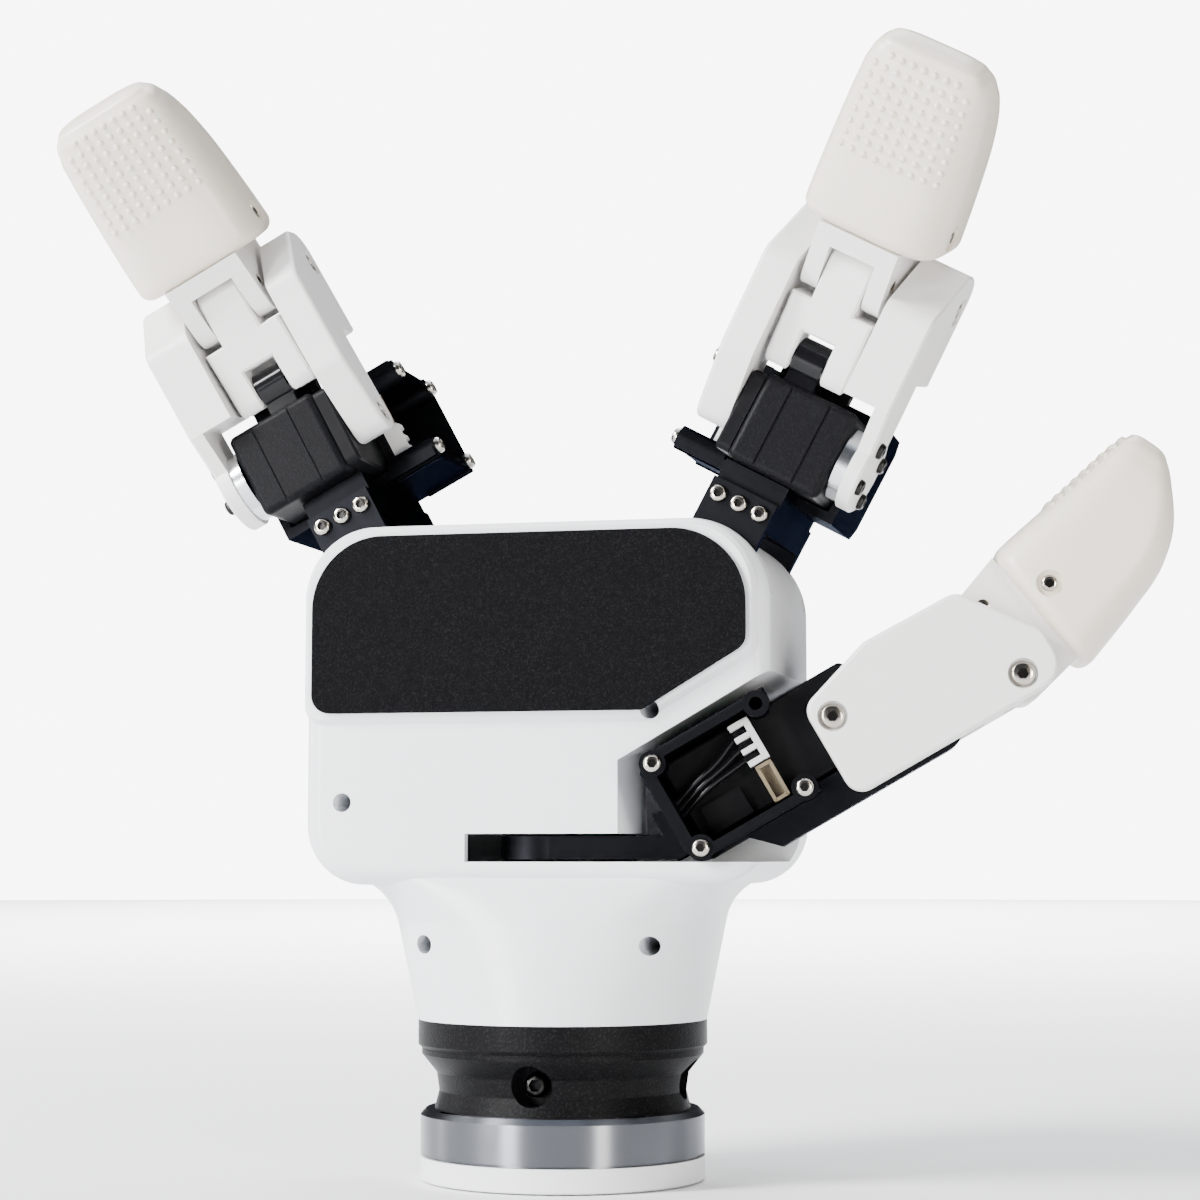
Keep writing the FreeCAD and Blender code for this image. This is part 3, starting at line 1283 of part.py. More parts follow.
def write_parts():
    """Check every object and piece, then write one STEP file for each piece."""
    doc.recompute()
    for item in doc.Objects:
        if "Invalid" in item.State or "Error" in item.State:
            raise RuntimeError(f"{item.Label} failed: {item.State}")
    for label, item in parts.items():
        if item.Shape.isNull() or not item.Shape.isValid() or not item.Shape.Solids:
            raise RuntimeError(label + " has no valid solid")
    os.makedirs("parts", exist_ok=True)
    for label, item in parts.items():
        item.Shape.exportStep(f"parts/{label}.step")
        print(label, len(item.Shape.Solids), round(item.Shape.Volume, 1))


make_base_ring()
make_flange_ring()
make_neck_coupling()
make_clamp_screws()
make_wrist_collar()
make_palm()
make_inner_works()
for digit in (
        Digit("left", -1, finger_base(-1), size("finger_flexion"), False),
        Digit("right", 1, finger_base(1), size("finger_flexion"), False),
        Digit("thumb", -1, thumb_base(), 0.0, True)):
    make_digit(digit)
write_parts()
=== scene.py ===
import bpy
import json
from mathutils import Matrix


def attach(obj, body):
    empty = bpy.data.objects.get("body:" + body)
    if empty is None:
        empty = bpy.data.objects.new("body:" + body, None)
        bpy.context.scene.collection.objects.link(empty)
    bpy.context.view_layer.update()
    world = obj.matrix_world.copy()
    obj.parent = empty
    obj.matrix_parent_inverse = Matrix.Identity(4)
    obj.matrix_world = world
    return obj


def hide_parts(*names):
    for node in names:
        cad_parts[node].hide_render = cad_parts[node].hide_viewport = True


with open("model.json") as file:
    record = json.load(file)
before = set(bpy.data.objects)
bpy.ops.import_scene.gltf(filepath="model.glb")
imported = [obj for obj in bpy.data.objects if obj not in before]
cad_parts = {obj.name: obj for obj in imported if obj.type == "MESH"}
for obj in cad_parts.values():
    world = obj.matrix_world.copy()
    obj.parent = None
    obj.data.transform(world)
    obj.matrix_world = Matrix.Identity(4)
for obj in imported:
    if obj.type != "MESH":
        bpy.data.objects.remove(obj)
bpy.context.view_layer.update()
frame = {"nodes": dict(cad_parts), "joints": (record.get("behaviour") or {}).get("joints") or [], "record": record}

import json
import math

import bpy
import numpy as np
from mathutils import Matrix, Vector

bl_info = {
    "name": "Three-digit robotic hand",
    "version": (1, 0, 0),
    "blender": (4, 5, 0),
    "location": "View3D > Sidebar > Hand",
    "description": "Finishes, fingertips, screws, leads and studio for the robotic hand",
    "category": "Object",
}

MM = 0.001
JOINTS = {joint["name"]: joint for joint in frame["joints"]}
RATIOS = {pair["joint"]: pair["ratio"] for pair in frame["record"]["behaviour"]["couplings"]}
SLOT_OF = {part["node"]: part["material_slot"] for part in frame["record"]["subparts"]}
DIGITS = ("left", "right", "thumb")
# Side of the flexion axis that a digit's horn is on
HAND = {"left": -1, "right": 1, "thumb": -1}
# Body that carries a digit's actuator
CARRIER = {"left": "left_knuckle", "right": "right_knuckle", "thumb": "thumb_base"}

# Angles repeated from the solids, in degrees
REST_FLEXION = {"left": 10.0, "right": 10.0, "thumb": 0.0}
TIP_BEND = 24.0

# Sizes repeated from the solids, in millimetres
CENTRE = 4.0
TIP_PIVOT = (38.8, -12.3)
COVER_FACE = 14.3
IDLER_SEAT = 20.6
ARM_FACE = 17.4
HORN_SEAT = 15.6
FRAME_RIM = 26.9
CLAMP_SEAT = 22.0
CLAMP_HEIGHT = 22.0


# Sizes and colours that a user may change


def colour_property(name, description, value):
    """Property that holds a finish's base colour."""
    return bpy.props.FloatVectorProperty(
        name=name, description=description, subtype="COLOR", size=3, min=0.0, max=1.0, default=value)


class HandColours(bpy.types.PropertyGroup):
    """Base colours of the hand's finishes."""

    shell: colour_property("Shell", "Satin white plastic of the palm housing", (0.80, 0.82, 0.85))
    ring: colour_property("Base ring", "White ring under the flange", (0.80, 0.81, 0.83))
    link: colour_property("Links", "White plastic of links and brackets", (0.79, 0.78, 0.765))
    tip: colour_property("Fingertips", "Warm ivory rubber", (0.78, 0.715, 0.61))
    case: colour_property("Actuator cases", "Dark grey textured plastic", (0.004, 0.004, 0.005))
    cover: colour_property("Covers and lugs", "Black plastic", (0.004, 0.004, 0.005))
    frame: colour_property("Frames and plates", "Black anodised metal", (0.0085, 0.009, 0.011))
    wrist: colour_property("Wrist", "Black textured wrist parts", (0.0026, 0.0026, 0.003))
    pad: colour_property("Palm pad", "Black speckled foam", (0.0028, 0.0028, 0.0034))
    aluminium: colour_property("Aluminium", "Satin aluminium of the horns", (0.70, 0.72, 0.75))
    flange: colour_property("Flange", "Turned aluminium", (0.15, 0.157, 0.172))
    steel: colour_property("Screws", "Bright steel", (0.50, 0.465, 0.41))
    # Also colours the dark discs in the bright screws' sockets, which are painted shade
    dark_steel: colour_property("Dark screws", "Blackened steel", (0.030, 0.029, 0.028))
    board: colour_property("Board", "Coated circuit board", (0.02, 0.12, 0.06))
    plug: colour_property("Plug", "White moulded plug", (0.80, 0.80, 0.79))
    socket: colour_property("Socket", "Brown-ivory spare socket", (0.24, 0.19, 0.12))


class HandSizes(bpy.types.PropertyGroup):
    """Sizes of the pieces that the scene adds."""

    dot_pitch: bpy.props.FloatProperty(
        name="Dot pitch", description="Distance between the fingertip's dots",
        default=0.00275, min=0.0015, max=0.006, unit="LENGTH")
    dot_radius: bpy.props.FloatProperty(
        name="Dot radius", description="Radius of one dot on the fingertip",
        default=0.00078, min=0.0004, max=0.002, unit="LENGTH")
    dot_height: bpy.props.FloatProperty(
        name="Dot height", description="Height of one dot over the fingertip",
        default=0.0006, min=0.0001, max=0.002, unit="LENGTH")
    wire_radius: bpy.props.FloatProperty(
        name="Wire radius", description="Radius of one wire of an actuator's lead",
        default=0.00075, min=0.0003, max=0.0015, unit="LENGTH")
    light: bpy.props.FloatProperty(
        name="Light", description="Strength of the studio lights", default=1.0, min=0.1, max=5.0)


def sizes():
    """The sizes that a user may change."""
    return bpy.context.scene.hand_sizes


def colours():
    """The colours that a user may change."""
    return bpy.context.scene.hand_colours


# Digit frames


def turned(vector, axis, degrees):
    """Rodrigues' turn of a vector about a unit axis."""
    angle = math.radians(degrees)
    along = axis * np.dot(axis, vector)
    return along + (vector - along) * math.cos(angle) + np.cross(axis, vector) * math.sin(angle)


def digit_frame(name, stage):
    """Origin and axes of a digit's module, proximal or tip frame, in metres.

    X runs along the link or the tip, Y to its palm side and Z along the flexion axis. The module's frame
    is that of the straight digit, turned back by a quarter on a finger and by a half on the thumb.
    """
    flex = JOINTS[name + "_flex"]
    origin = np.array(flex["pos_m"])
    axis = np.array(flex["axis"])
    pivot = np.array(JOINTS[name + "_tip_flex"]["pos_m"])
    reach = (pivot - origin) / np.linalg.norm(pivot - origin)
    proximal = turned(reach, axis, -math.degrees(math.atan2(TIP_PIVOT[1], TIP_PIVOT[0])))
    turn = 0.0
    if stage == "module":
        turn = -REST_FLEXION[name] + (180.0 if name == "thumb" else -90.0)
    if stage == "tip":
        turn = REST_FLEXION[name] * RATIOS[name + "_tip_flex"] + TIP_BEND
        origin = pivot
    x_axis = turned(proximal, axis, turn)
    return origin, x_axis, np.cross(axis, x_axis), axis


def in_frame(points, place):
    """Points in millimetres in a frame, as metres in the hand's frame."""
    origin, x_axis, y_axis, z_axis = place
    points = np.asarray(points, float) * MM
    return origin + points[..., :1] * x_axis + points[..., 1:2] * y_axis + points[..., 2:3] * z_axis


# Meshes

ROUND_SIDES = 24


def grid_quads(rows, columns):
    """Quads of a grid of rows by columns, joined round each row."""
    row = np.arange(rows - 1)[:, None] * columns
    column = np.arange(columns)[None, :]
    after = (column + 1) % columns
    quads = np.stack([row + column, row + after, row + columns + after, row + columns + column], axis=-1)
    return quads.reshape(-1, 4)


def closed_surface(grid, paint=0):
    """Points, faces and material number of a tube of rings with both end rings capped."""
    rows, columns, _ = grid.shape
    faces = [tuple(face) for face in grid_quads(rows, columns)]
    faces.append(tuple(range(columns - 1, -1, -1)))
    faces.append(tuple(range((rows - 1) * columns, rows * columns)))
    return grid.reshape(-1, 3), faces, paint


def rings_shape(seat, outward, place, rings, paint=0):
    """Shape turned about a screw's axis from rings of radius, even or given at each angle, and height."""
    turn = np.linspace(0, 2 * math.pi, ROUND_SIDES, endpoint=False)[:, None]
    out = np.asarray(outward, float)
    side = np.cross(out, [0.0, 1.0, 0.0] if abs(out[1]) < 0.9 else [1.0, 0.0, 0.0])
    side /= np.linalg.norm(side)
    around = np.cos(turn) * side + np.sin(turn) * np.cross(out, side)
    seat = np.asarray(seat, float)
    grid = np.array([seat + np.broadcast_to(radius, ROUND_SIDES)[:, None] * around + height * out
                     for radius, height in rings])
    return closed_surface(in_frame(grid[::-1], place), paint)


def joined_mesh(name, shapes):
    """Mesh of several closed shapes, each with its points, faces and material number."""
    starts = np.cumsum([0] + [len(points) for points, _, _ in shapes])
    faces = [tuple(index + start for index in face)
             for start, (_, shape_faces, _) in zip(starts, shapes) for face in shape_faces]
    mesh = bpy.data.meshes.new(name)
    mesh.from_pydata(np.concatenate([points for points, _, _ in shapes]).tolist(), [], faces)
    return mesh


def make_piece(name, shapes, body, materials, replaces=(), sharp=35.0):
    """One object from closed shapes, smooth but for edges sharper than an angle, riding on a body."""
    mesh = joined_mesh(name, shapes)
    paint = np.concatenate([np.full(len(faces), number) for _, faces, number in shapes])
    mesh.polygons.foreach_set("use_smooth", np.ones(len(paint), bool))
    mesh.polygons.foreach_set("material_index", paint.astype(np.int32))
    mesh.set_sharp_from_angle(angle=math.radians(sharp))
    mesh.update()
    for material in materials:
        mesh.materials.append(material)
    piece = bpy.data.objects.new(name, mesh)
    bpy.context.scene.collection.objects.link(piece)
    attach(piece, body)
    if replaces:
        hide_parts(*replaces)
    return piece


def cut_bores(piece, bores, sharp):
    """Takes closed shapes out of a piece's mesh for good, and keeps the bores' rims sharp."""
    cutter_mesh = joined_mesh("bores", bores)
    cutter = bpy.data.objects.new("bores", cutter_mesh)
    bpy.context.scene.collection.objects.link(cutter)
    cut = piece.modifiers.new("bores", "BOOLEAN")
    cut.operation = "DIFFERENCE"
    cut.solver = "EXACT"
    cut.object = cutter
    whole = piece.data
    mesh = bpy.data.meshes.new_from_object(piece.evaluated_get(bpy.context.evaluated_depsgraph_get()))
    mesh.set_sharp_from_angle(angle=math.radians(sharp))
    piece.modifiers.remove(cut)
    piece.data = mesh
    bpy.data.objects.remove(cutter)
    bpy.data.meshes.remove(cutter_mesh)
    bpy.data.meshes.remove(whole)
    mesh.name = piece.name


# Shader groups and finishes


def new_group(name, inputs, outputs):
    """Shader group with named sockets, and its input and output nodes."""
    group = bpy.data.node_groups.new(name, "ShaderNodeTree")
    for label, kind, value in inputs:
        socket = group.interface.new_socket(label, in_out="INPUT", socket_type=kind)
        socket.default_value = value
    for label, kind in outputs:
        group.interface.new_socket(label, in_out="OUTPUT", socket_type=kind)
    return group, group.nodes.new("NodeGroupInput"), group.nodes.new("NodeGroupOutput")


def node(tree, kind, links=(), **values):
    """New node with attributes set, and sockets linked or given values."""
    item = tree.nodes.new(kind)
    for key, value in values.items():
        setattr(item, key, value)
    for socket, source in links:
        if hasattr(source, "is_linked"):
            tree.links.new(source, item.inputs[socket])
        else:
            item.inputs[socket].default_value = source
    return item


def maths(tree, operation, *values):
    """Result of one operation on sockets or plain values."""
    return node(tree, "ShaderNodeMath", list(enumerate(values)), operation=operation).outputs[0]


def moulded_group():
    """Moulded or printed plastic: soft tone drift, fine grain in height and tone, and a drifting gloss."""
    group, start, end = new_group(
        "moulded_surface",
        [("Colour", "NodeSocketColor", (0.8, 0.8, 0.8, 1)), ("Drift", "NodeSocketFloat", 0.06),
         ("Gloss", "NodeSocketFloat", 0.4), ("Gloss drift", "NodeSocketFloat", 0.12),
         ("Grain size", "NodeSocketFloat", 2500.0), ("Grain tone", "NodeSocketFloat", 0.0)],
        [("Colour", "NodeSocketColor"), ("Roughness", "NodeSocketFloat"), ("Height", "NodeSocketFloat")])
    place = node(group, "ShaderNodeTexCoord").outputs["Object"]
    wide = node(group, "ShaderNodeTexNoise", [("Vector", place), ("Scale", 45.0), ("Detail", 3.0)])
    streak = node(group, "ShaderNodeTexNoise", [("Vector", place), ("Scale", 260.0), ("Detail", 4.0)])
    fine = node(group, "ShaderNodeTexNoise",
                [("Vector", place), ("Scale", start.outputs["Grain size"]), ("Detail", 2.0)])
    mask = maths(group, "MULTIPLY", wide.outputs["Fac"], streak.outputs["Fac"])
    shade = maths(group, "MULTIPLY", mask, start.outputs["Drift"])
    darker = node(group, "ShaderNodeMix",
                  [(0, shade), (6, start.outputs["Colour"]), (7, (0.03, 0.03, 0.03, 1))], data_type="RGBA")
    peaks = node(group, "ShaderNodeMapRange",
                 [("Value", fine.outputs["Fac"]), ("From Min", 0.5), ("From Max", 0.75)])
    speck = maths(group, "MULTIPLY", peaks.outputs[0], start.outputs["Grain tone"])
    grained = node(group, "ShaderNodeMix",
                   [(0, speck), (6, darker.outputs[2]), (7, (0.05, 0.05, 0.055, 1))], data_type="RGBA")
    drift = maths(group, "SUBTRACT", wide.outputs["Fac"], 0.5)
    gloss = maths(group, "MULTIPLY_ADD", drift, start.outputs["Gloss drift"], start.outputs["Gloss"])
    group.links.new(grained.outputs[2], end.inputs["Colour"])
    group.links.new(gloss, end.inputs["Roughness"])
    group.links.new(fine.outputs["Fac"], end.inputs["Height"])
    return group


def metal_group():
    """Machined metal: fine tool lines that run round the hand's Z axis, and a drifting gloss."""
    group, start, end = new_group(
        "machined_surface",
        [("Gloss", "NodeSocketFloat", 0.25), ("Gloss drift", "NodeSocketFloat", 0.12),
         ("Line density", "NodeSocketFloat", 4000.0)],
        [("Roughness", "NodeSocketFloat"), ("Height", "NodeSocketFloat")])
    place = node(group, "ShaderNodeTexCoord").outputs["Object"]
    split = node(group, "ShaderNodeSeparateXYZ", [(0, place)])
    lines = node(group, "ShaderNodeTexNoise",
                 [("W", split.outputs["Z"]), ("Scale", start.outputs["Line density"]), ("Detail", 3.0)],
                 noise_dimensions="1D")
    spots = node(group, "ShaderNodeTexNoise", [("Vector", place), ("Scale", 120.0), ("Detail", 3.0)])
    drift = maths(group, "SUBTRACT", spots.outputs["Fac"], 0.5)
    gloss = maths(group, "MULTIPLY_ADD", drift, start.outputs["Gloss drift"], start.outputs["Gloss"])
    group.links.new(gloss, end.inputs["Roughness"])
    group.links.new(lines.outputs["Fac"], end.inputs["Height"])
    return group


def foam_group():
    """Closed-cell foam skin: small pits with pale specks between them."""
    group, start, end = new_group(
        "foam_surface",
        [("Colour", "NodeSocketColor", (0.01, 0.01, 0.01, 1)),
         ("Speck", "NodeSocketColor", (0.014, 0.014, 0.015, 1)), ("Cell size", "NodeSocketFloat", 2600.0)],
        [("Colour", "NodeSocketColor"), ("Height", "NodeSocketFloat")])
    place = node(group, "ShaderNodeTexCoord").outputs["Object"]
    cells = node(group, "ShaderNodeTexVoronoi", [("Vector", place), ("Scale", start.outputs["Cell size"])])
    noise = node(group, "ShaderNodeTexNoise", [("Vector", place), ("Scale", 3600.0), ("Detail", 2.0)])
    ramp = node(group, "ShaderNodeMapRange",
                [("Value", noise.outputs["Fac"]), ("From Min", 0.5), ("From Max", 0.8)])
    mixed = node(group, "ShaderNodeMix",
                 [(0, ramp.outputs[0]), (6, start.outputs["Colour"]), (7, start.outputs["Speck"])],
                 data_type="RGBA")
    group.links.new(mixed.outputs[2], end.inputs["Colour"])
    group.links.new(cells.outputs["Distance"], end.inputs["Height"])
    return group


def shader_group(name, maker):
    """Shader group by name, made at its first use."""
    return bpy.data.node_groups.get(name) or maker()


def new_finish(name, **sockets):
    """Material with its Principled shader's constant sockets set."""
    material = bpy.data.materials.new(name)
    material.use_nodes = True
    shader = material.node_tree.nodes["Principled BSDF"]
    for socket, value in sockets.items():
        shader.inputs[socket.replace("_", " ")].default_value = value
    return material, material.node_tree, shader


def add_bump(tree, shader, height, strength, distance):
    """Bump on the shader's normal from a height of the surface."""
    bump = node(tree, "ShaderNodeBump", [("Height", height), ("Strength", strength), ("Distance", distance)])
    tree.links.new(bump.outputs["Normal"], shader.inputs["Normal"])


def plastic(name, colour, gloss, grain=2500.0, depth=0.000004, drift=0.06, tone=0.0, **sockets):
    """Moulded plastic, rubber or anodised finish from the shared group."""
    material, tree, shader = new_finish(name, **sockets)
    group = node(tree, "ShaderNodeGroup")
    group.node_tree = shader_group("moulded_surface", moulded_group)
    group.inputs["Colour"].default_value = (*colour, 1.0)
    group.inputs["Drift"].default_value = drift
    group.inputs["Gloss"].default_value = gloss
    group.inputs["Grain tone"].default_value = tone
    group.inputs["Grain size"].default_value = grain
    tree.links.new(group.outputs["Colour"], shader.inputs["Base Color"])
    tree.links.new(group.outputs["Roughness"], shader.inputs["Roughness"])
    add_bump(tree, shader, group.outputs["Height"], 1.0, depth)
    return material


def metal(name, colour, gloss, lines=5000.0, depth=0.000001, **sockets):
    """Bare metal with tool lines from the shared group."""
    material, tree, shader = new_finish(name, Metallic=1.0, Base_Color=(*colour, 1.0), **sockets)
    group = node(tree, "ShaderNodeGroup")
    group.node_tree = shader_group("machined_surface", metal_group)
    group.inputs["Gloss"].default_value = gloss
    group.inputs["Line density"].default_value = lines
    tree.links.new(group.outputs["Roughness"], shader.inputs["Roughness"])
    add_bump(tree, shader, group.outputs["Height"], 1.0, depth)
    return material


def foam(name, colour):
    """Black foam with pits and specks from the foam group."""
    material, tree, shader = new_finish(name, Roughness=0.8, Specular_IOR_Level=0.04)
    group = node(tree, "ShaderNodeGroup")
    group.node_tree = shader_group("foam_surface", foam_group)
    group.inputs["Colour"].default_value = (*colour, 1.0)
    tree.links.new(group.outputs["Colour"], shader.inputs["Base Color"])
    add_bump(tree, shader, group.outputs["Height"], 0.8, 0.0001)
    return material


FINISHES = {}


def finishes():
    """The hand's materials by slot of the record and by extra name, made once."""
    if FINISHES:
        return FINISHES
    tint = colours()
    low = {"Specular_IOR_Level": 0.07}
    FINISHES["white_shell"] = plastic("satin_white_shell", tint.shell, 0.32, 2200.0, 0.000002,
                                      Coat_Weight=0.1)
    FINISHES["white_ring"] = plastic("satin_white_ring", tint.ring, 0.38)
    FINISHES["link_white"] = plastic("white_link", tint.link, 0.42, 1800.0, drift=0.08)
    FINISHES["tip_rubber"] = plastic("ivory_rubber", tint.tip, 0.33, 1400.0, 0.000005, 0.05,
                                     Subsurface_Weight=0.15, Subsurface_Scale=0.002)
    FINISHES["servo_grey"] = plastic("dark_case", tint.case, 0.44, 2400.0, 0.00006, 0.0, 0.12, **low)
    FINISHES["servo_black"] = plastic("black_cover", tint.cover, 0.40, 2800.0, 0.00001, 0.3, **low)
    # Its blue specular tint is painted reflection: blue light on the frames' undersides, put into the finish
    # instead of a lamp
    FINISHES["black_anodised"] = plastic("black_anodised", tint.frame, 0.46, 3600.0, 0.000006, 0.3,
                                         Metallic=1.0, Specular_Tint=(0.20, 0.23, 0.30, 1.0))
    FINISHES["black_wrist"] = plastic("black_wrist", tint.wrist, 0.42, 2100.0, 0.0001, 0.0, 0.2, **low)
    FINISHES["pad"] = foam("speckled_foam", tint.pad)
    FINISHES["turned_aluminium"] = metal("turned_aluminium", tint.flange, 0.30, 5200.0, 0.0000012,
                                         Anisotropic=0.85, Anisotropic_Rotation=0.25)
    FINISHES["sheet_aluminium"] = metal("satin_aluminium", tint.aluminium, 0.22, 3500.0)
    FINISHES["steel"] = metal("bright_steel", tint.steel, 0.20)
    FINISHES["dark_steel"] = metal("blackened_steel", tint.dark_steel, 0.32)
    FINISHES["board"] = plastic("board_coat", tint.board, 0.4)
    FINISHES["plug_white"] = plastic("white_plug", tint.plug, 0.45)
    FINISHES["socket"] = plastic("brown_socket", tint.socket, 0.35)
    FINISHES["glossy_black"] = plastic("glossy_black", tint.cover, 0.14, 3000.0, 0.000002,
                                       Specular_IOR_Level=0.25)
    return FINISHES


# Fingertips

# Sizes in millimetres in the tip's frame
NOSE = 57.2
BASE_MIDDLE = 13.0
BASE_POINT = (10.6, -5.0)
BASE_SLOPE = 7.2 / 26.9
RIM_ROUND = 3.0
SCREW_SPOT = (19.0, 6.4)
BORE_FLOOR = 15.0
BORE_RADIUS = 2.85
BORE_REACH = 4.0
DOTS_START = 32.0
START_HALF_WIDTH = 15.5
# Rows of dots along the tip, columns on each side of the middle one, and sides of one dot
DOT_ROWS = 9
DOT_COLUMNS = 4
DOT_SIDES = 12
# Sides of a cross-section, how far they bunch at its corners, and the power that squares it
TIP_SIDES = 120
CORNER_BUNCH = 0.16
TIP_CURVE = 0.52
# Angle in degrees from which a fingertip's edge is sharp
TIP_SHARP = 50.0
# Distance along the tip, palm side, back side and half width of its cross-sections
TIP_SECTIONS = np.array([
    (5.8, 20.8, -10.1, 16.0),
    (17.3, 19.3, -10.8, 16.0),
    (28.3, 17.2, -11.35, 15.7),
    (39.0, 15.1, -10.95, 15.1),
    (46.2, 13.75, -8.0, 14.4),
    (51.6, 12.6, -3.4, 13.4),
    (55.4, 11.2, 0.5, 11.4),
    (56.75, 10.1, 2.4, 9.4),
    (57.2, 8.8, 3.8, 7.2)])


def tip_section(along):
    """Palm side, back side and half width at a distance along the tip, by smooth cubic blending."""
    knots = TIP_SECTIONS[:, 0]
    values = TIP_SECTIONS[:, 1:]
    slopes = np.gradient(values, knots, axis=0)
    index = np.clip(np.searchsorted(knots, along) - 1, 0, len(knots) - 2)
    step = (knots[index + 1] - knots[index])[..., None]
    t = (along - knots[index])[..., None] / step
    start = (1 + 2 * t) * (1 - t) ** 2 * values[index] + t * (1 - t) ** 2 * step * slopes[index]
    end = t * t * (3 - 2 * t) * values[index + 1] + t * t * (t - 1) * step * slopes[index + 1]
    return start + end


def tip_point(along, angle, centre):
    """Point of the fingertip: a superellipse of power 2 / TIP_CURVE round the axis, sheared near its base.

    The base lies on a plane that leans back towards the nail side, and the lean fades along the tip.
    """
    sides = tip_section(along)
    middle = (sides[..., 0] + sides[..., 1]) / 2
    thick = (sides[..., 0] - sides[..., 1]) / 2
    c = np.cos(angle)
    s = np.sin(angle)
    y = middle + thick * np.sign(c) * np.abs(c) ** TIP_CURVE
    z = centre + sides[..., 2] * np.sign(s) * np.abs(s) ** TIP_CURVE
    base = BASE_POINT[0] + (y - BASE_POINT[1]) * BASE_SLOPE
    lean = (base - BASE_MIDDLE) * (NOSE - along) / (NOSE - BASE_MIDDLE)
    return np.stack([along + lean, y, z], axis=-1)


def fingertip_shape(name):
    """Closed fingertip: base plane, a rim rounded by a quarter circle, then the sections to the nose."""
    centre = -HAND[name] * CENTRE
    turn = np.linspace(0, 2 * math.pi, TIP_SIDES, endpoint=False)
    # Even steps of the superellipse's arc: the turn is bunched towards its four corners
    angle = turn + CORNER_BUNCH * np.sin(4 * turn)
    # Rings lie closer together at the rim and towards the nose
    rise = RIM_ROUND * (1 - np.cos(np.linspace(0, math.pi / 2, 9)))
    along = np.concatenate([BASE_MIDDLE + rise, np.linspace(BASE_MIDDLE + RIM_ROUND + 0.8, 49.0, 38),
                            np.linspace(49.5, 56.6, 22), np.linspace(56.7, NOSE, 7)])
    grid = tip_point(*np.meshgrid(along, angle, indexing="ij"), centre)
    inset = RIM_ROUND - np.sqrt(np.maximum(RIM_ROUND ** 2 - (RIM_ROUND - rise) ** 2, 0))
    for ring, depth in zip(grid, inset):
        inward = ring.mean(axis=0) - ring
        ring += inward * depth / np.linalg.norm(inward, axis=1, keepdims=True)
    hub = grid[0].mean(axis=0)
    rim = [hub + (grid[0] - hub) * share for share in (0.35, 0.9)]
    nose = grid[-1].mean(axis=0)
    ahead = np.array([1.0, 0, 0])
    end = [nose + (grid[-1] - nose) * share + bulge * ahead
           for share, bulge in ((0.86, 0.06), (0.6, 0.13), (0.25, 0.17))]
    grid = np.concatenate([np.array(rim), grid, np.array(end)])
    return closed_surface(in_frame(grid, digit_frame(name, "tip")))


def dot_shapes(name):
    """Square grid of low domes on the palm side of the fingertip's outer part, without its outer corners."""
    centre = -HAND[name] * CENTRE
    pitch = sizes().dot_pitch / MM
    row, column = np.meshgrid(np.arange(DOT_ROWS), np.arange(-DOT_COLUMNS, DOT_COLUMNS + 1), indexing="ij")
    held = (row < DOT_ROWS - 1) | (np.abs(column) < DOT_COLUMNS)
    along = DOTS_START + row[held] * pitch
    half = tip_section(along)[:, 2]
    # Columns draw together by half as much as the tip narrows
    side = column[held] * pitch * (0.5 + 0.5 * half / START_HALF_WIDTH) / half
    angle = np.arcsin(np.sign(side) * np.abs(side) ** (1 / TIP_CURVE))
    base = tip_point(along, angle, centre)
    # Directions along and across the skin, by small steps
    ahead = tip_point(along + 0.3, angle, centre) - base
    aside = tip_point(along, angle + 0.02, centre) - tip_point(along, angle - 0.02, centre)
    ahead /= np.linalg.norm(ahead, axis=1, keepdims=True)
    normal = np.cross(aside, ahead)
    normal *= np.sign(normal[:, 1:2]) / np.linalg.norm(normal, axis=1, keepdims=True)
    aside = np.cross(ahead, normal)
    # Dome: from a rim under the skin, radius and height follow a quarter ellipse closely to the crown
    radius = sizes().dot_radius / MM * np.array([1.0, 0.94, 0.78, 0.5, 0.12])[:, None, None]
    height = sizes().dot_height / MM * np.array([-0.6, 0.28, 0.62, 0.88, 1.0])[:, None, None]
    turn = np.linspace(0, 2 * math.pi, DOT_SIDES, endpoint=False)[None, :, None]
    place = digit_frame(name, "tip")
    domes = [spot + radius * (np.cos(turn) * across + np.sin(turn) * onward) + height * out
             for spot, across, onward, out in zip(base, aside, ahead, normal)]
    return [closed_surface(in_frame(dome, place)) for dome in domes]


def tip_screw_seats(name):
    """Middle of the floor and outward direction of the screw bores in the fingertip's two sides."""
    middle = -HAND[name] * CENTRE
    return [((*SCREW_SPOT, middle + sign * BORE_FLOOR), (0, 0, sign)) for sign in (-1, 1)]


def tip_bore_shapes(name):
    """Round bores that sink the fingertip's side screws."""
    place = digit_frame(name, "tip")
    bore = [(BORE_RADIUS, BORE_REACH), (BORE_RADIUS, 0.0)]
    return [rings_shape(seat, out, place, bore) for seat, out in tip_screw_seats(name)]


class HAND_OT_fingertips(bpy.types.Operator):
    """Soft fingertips with rows of grip dots and bores for their side screws"""

    bl_idname = "hand.fingertips"
    bl_label = "Fingertips"

    def execute(self, context):
        rubber = [finishes()["tip_rubber"]]
        for name in DIGITS:
            tip = make_piece(name + "_soft_tip", [fingertip_shape(name)], name + "_tip", rubber,
                             [name + "_fingertip"], TIP_SHARP)
            cut_bores(tip, tip_bore_shapes(name), TIP_SHARP)
            make_piece(name + "_grip_dots", dot_shapes(name), name + "_tip", rubber)
        return {"FINISHED"}


# Screws

HAND_PLACE = (np.zeros(3), *np.eye(3))
# Radius and height of each kind of head in millimetres, and the share of the radius that its socket takes
SCREW_SIZES = {"frame": (1.95, 1.5, 0.42), "pivot": (2.75, 1.5, 0.36), "horn": (1.8, 1.2, 0.42),
               "tip": (1.75, 0.85, 0.5), "bracket": (1.9, 0.9, 0.42), "clamp": (2.7, 2.7, 0.45)}
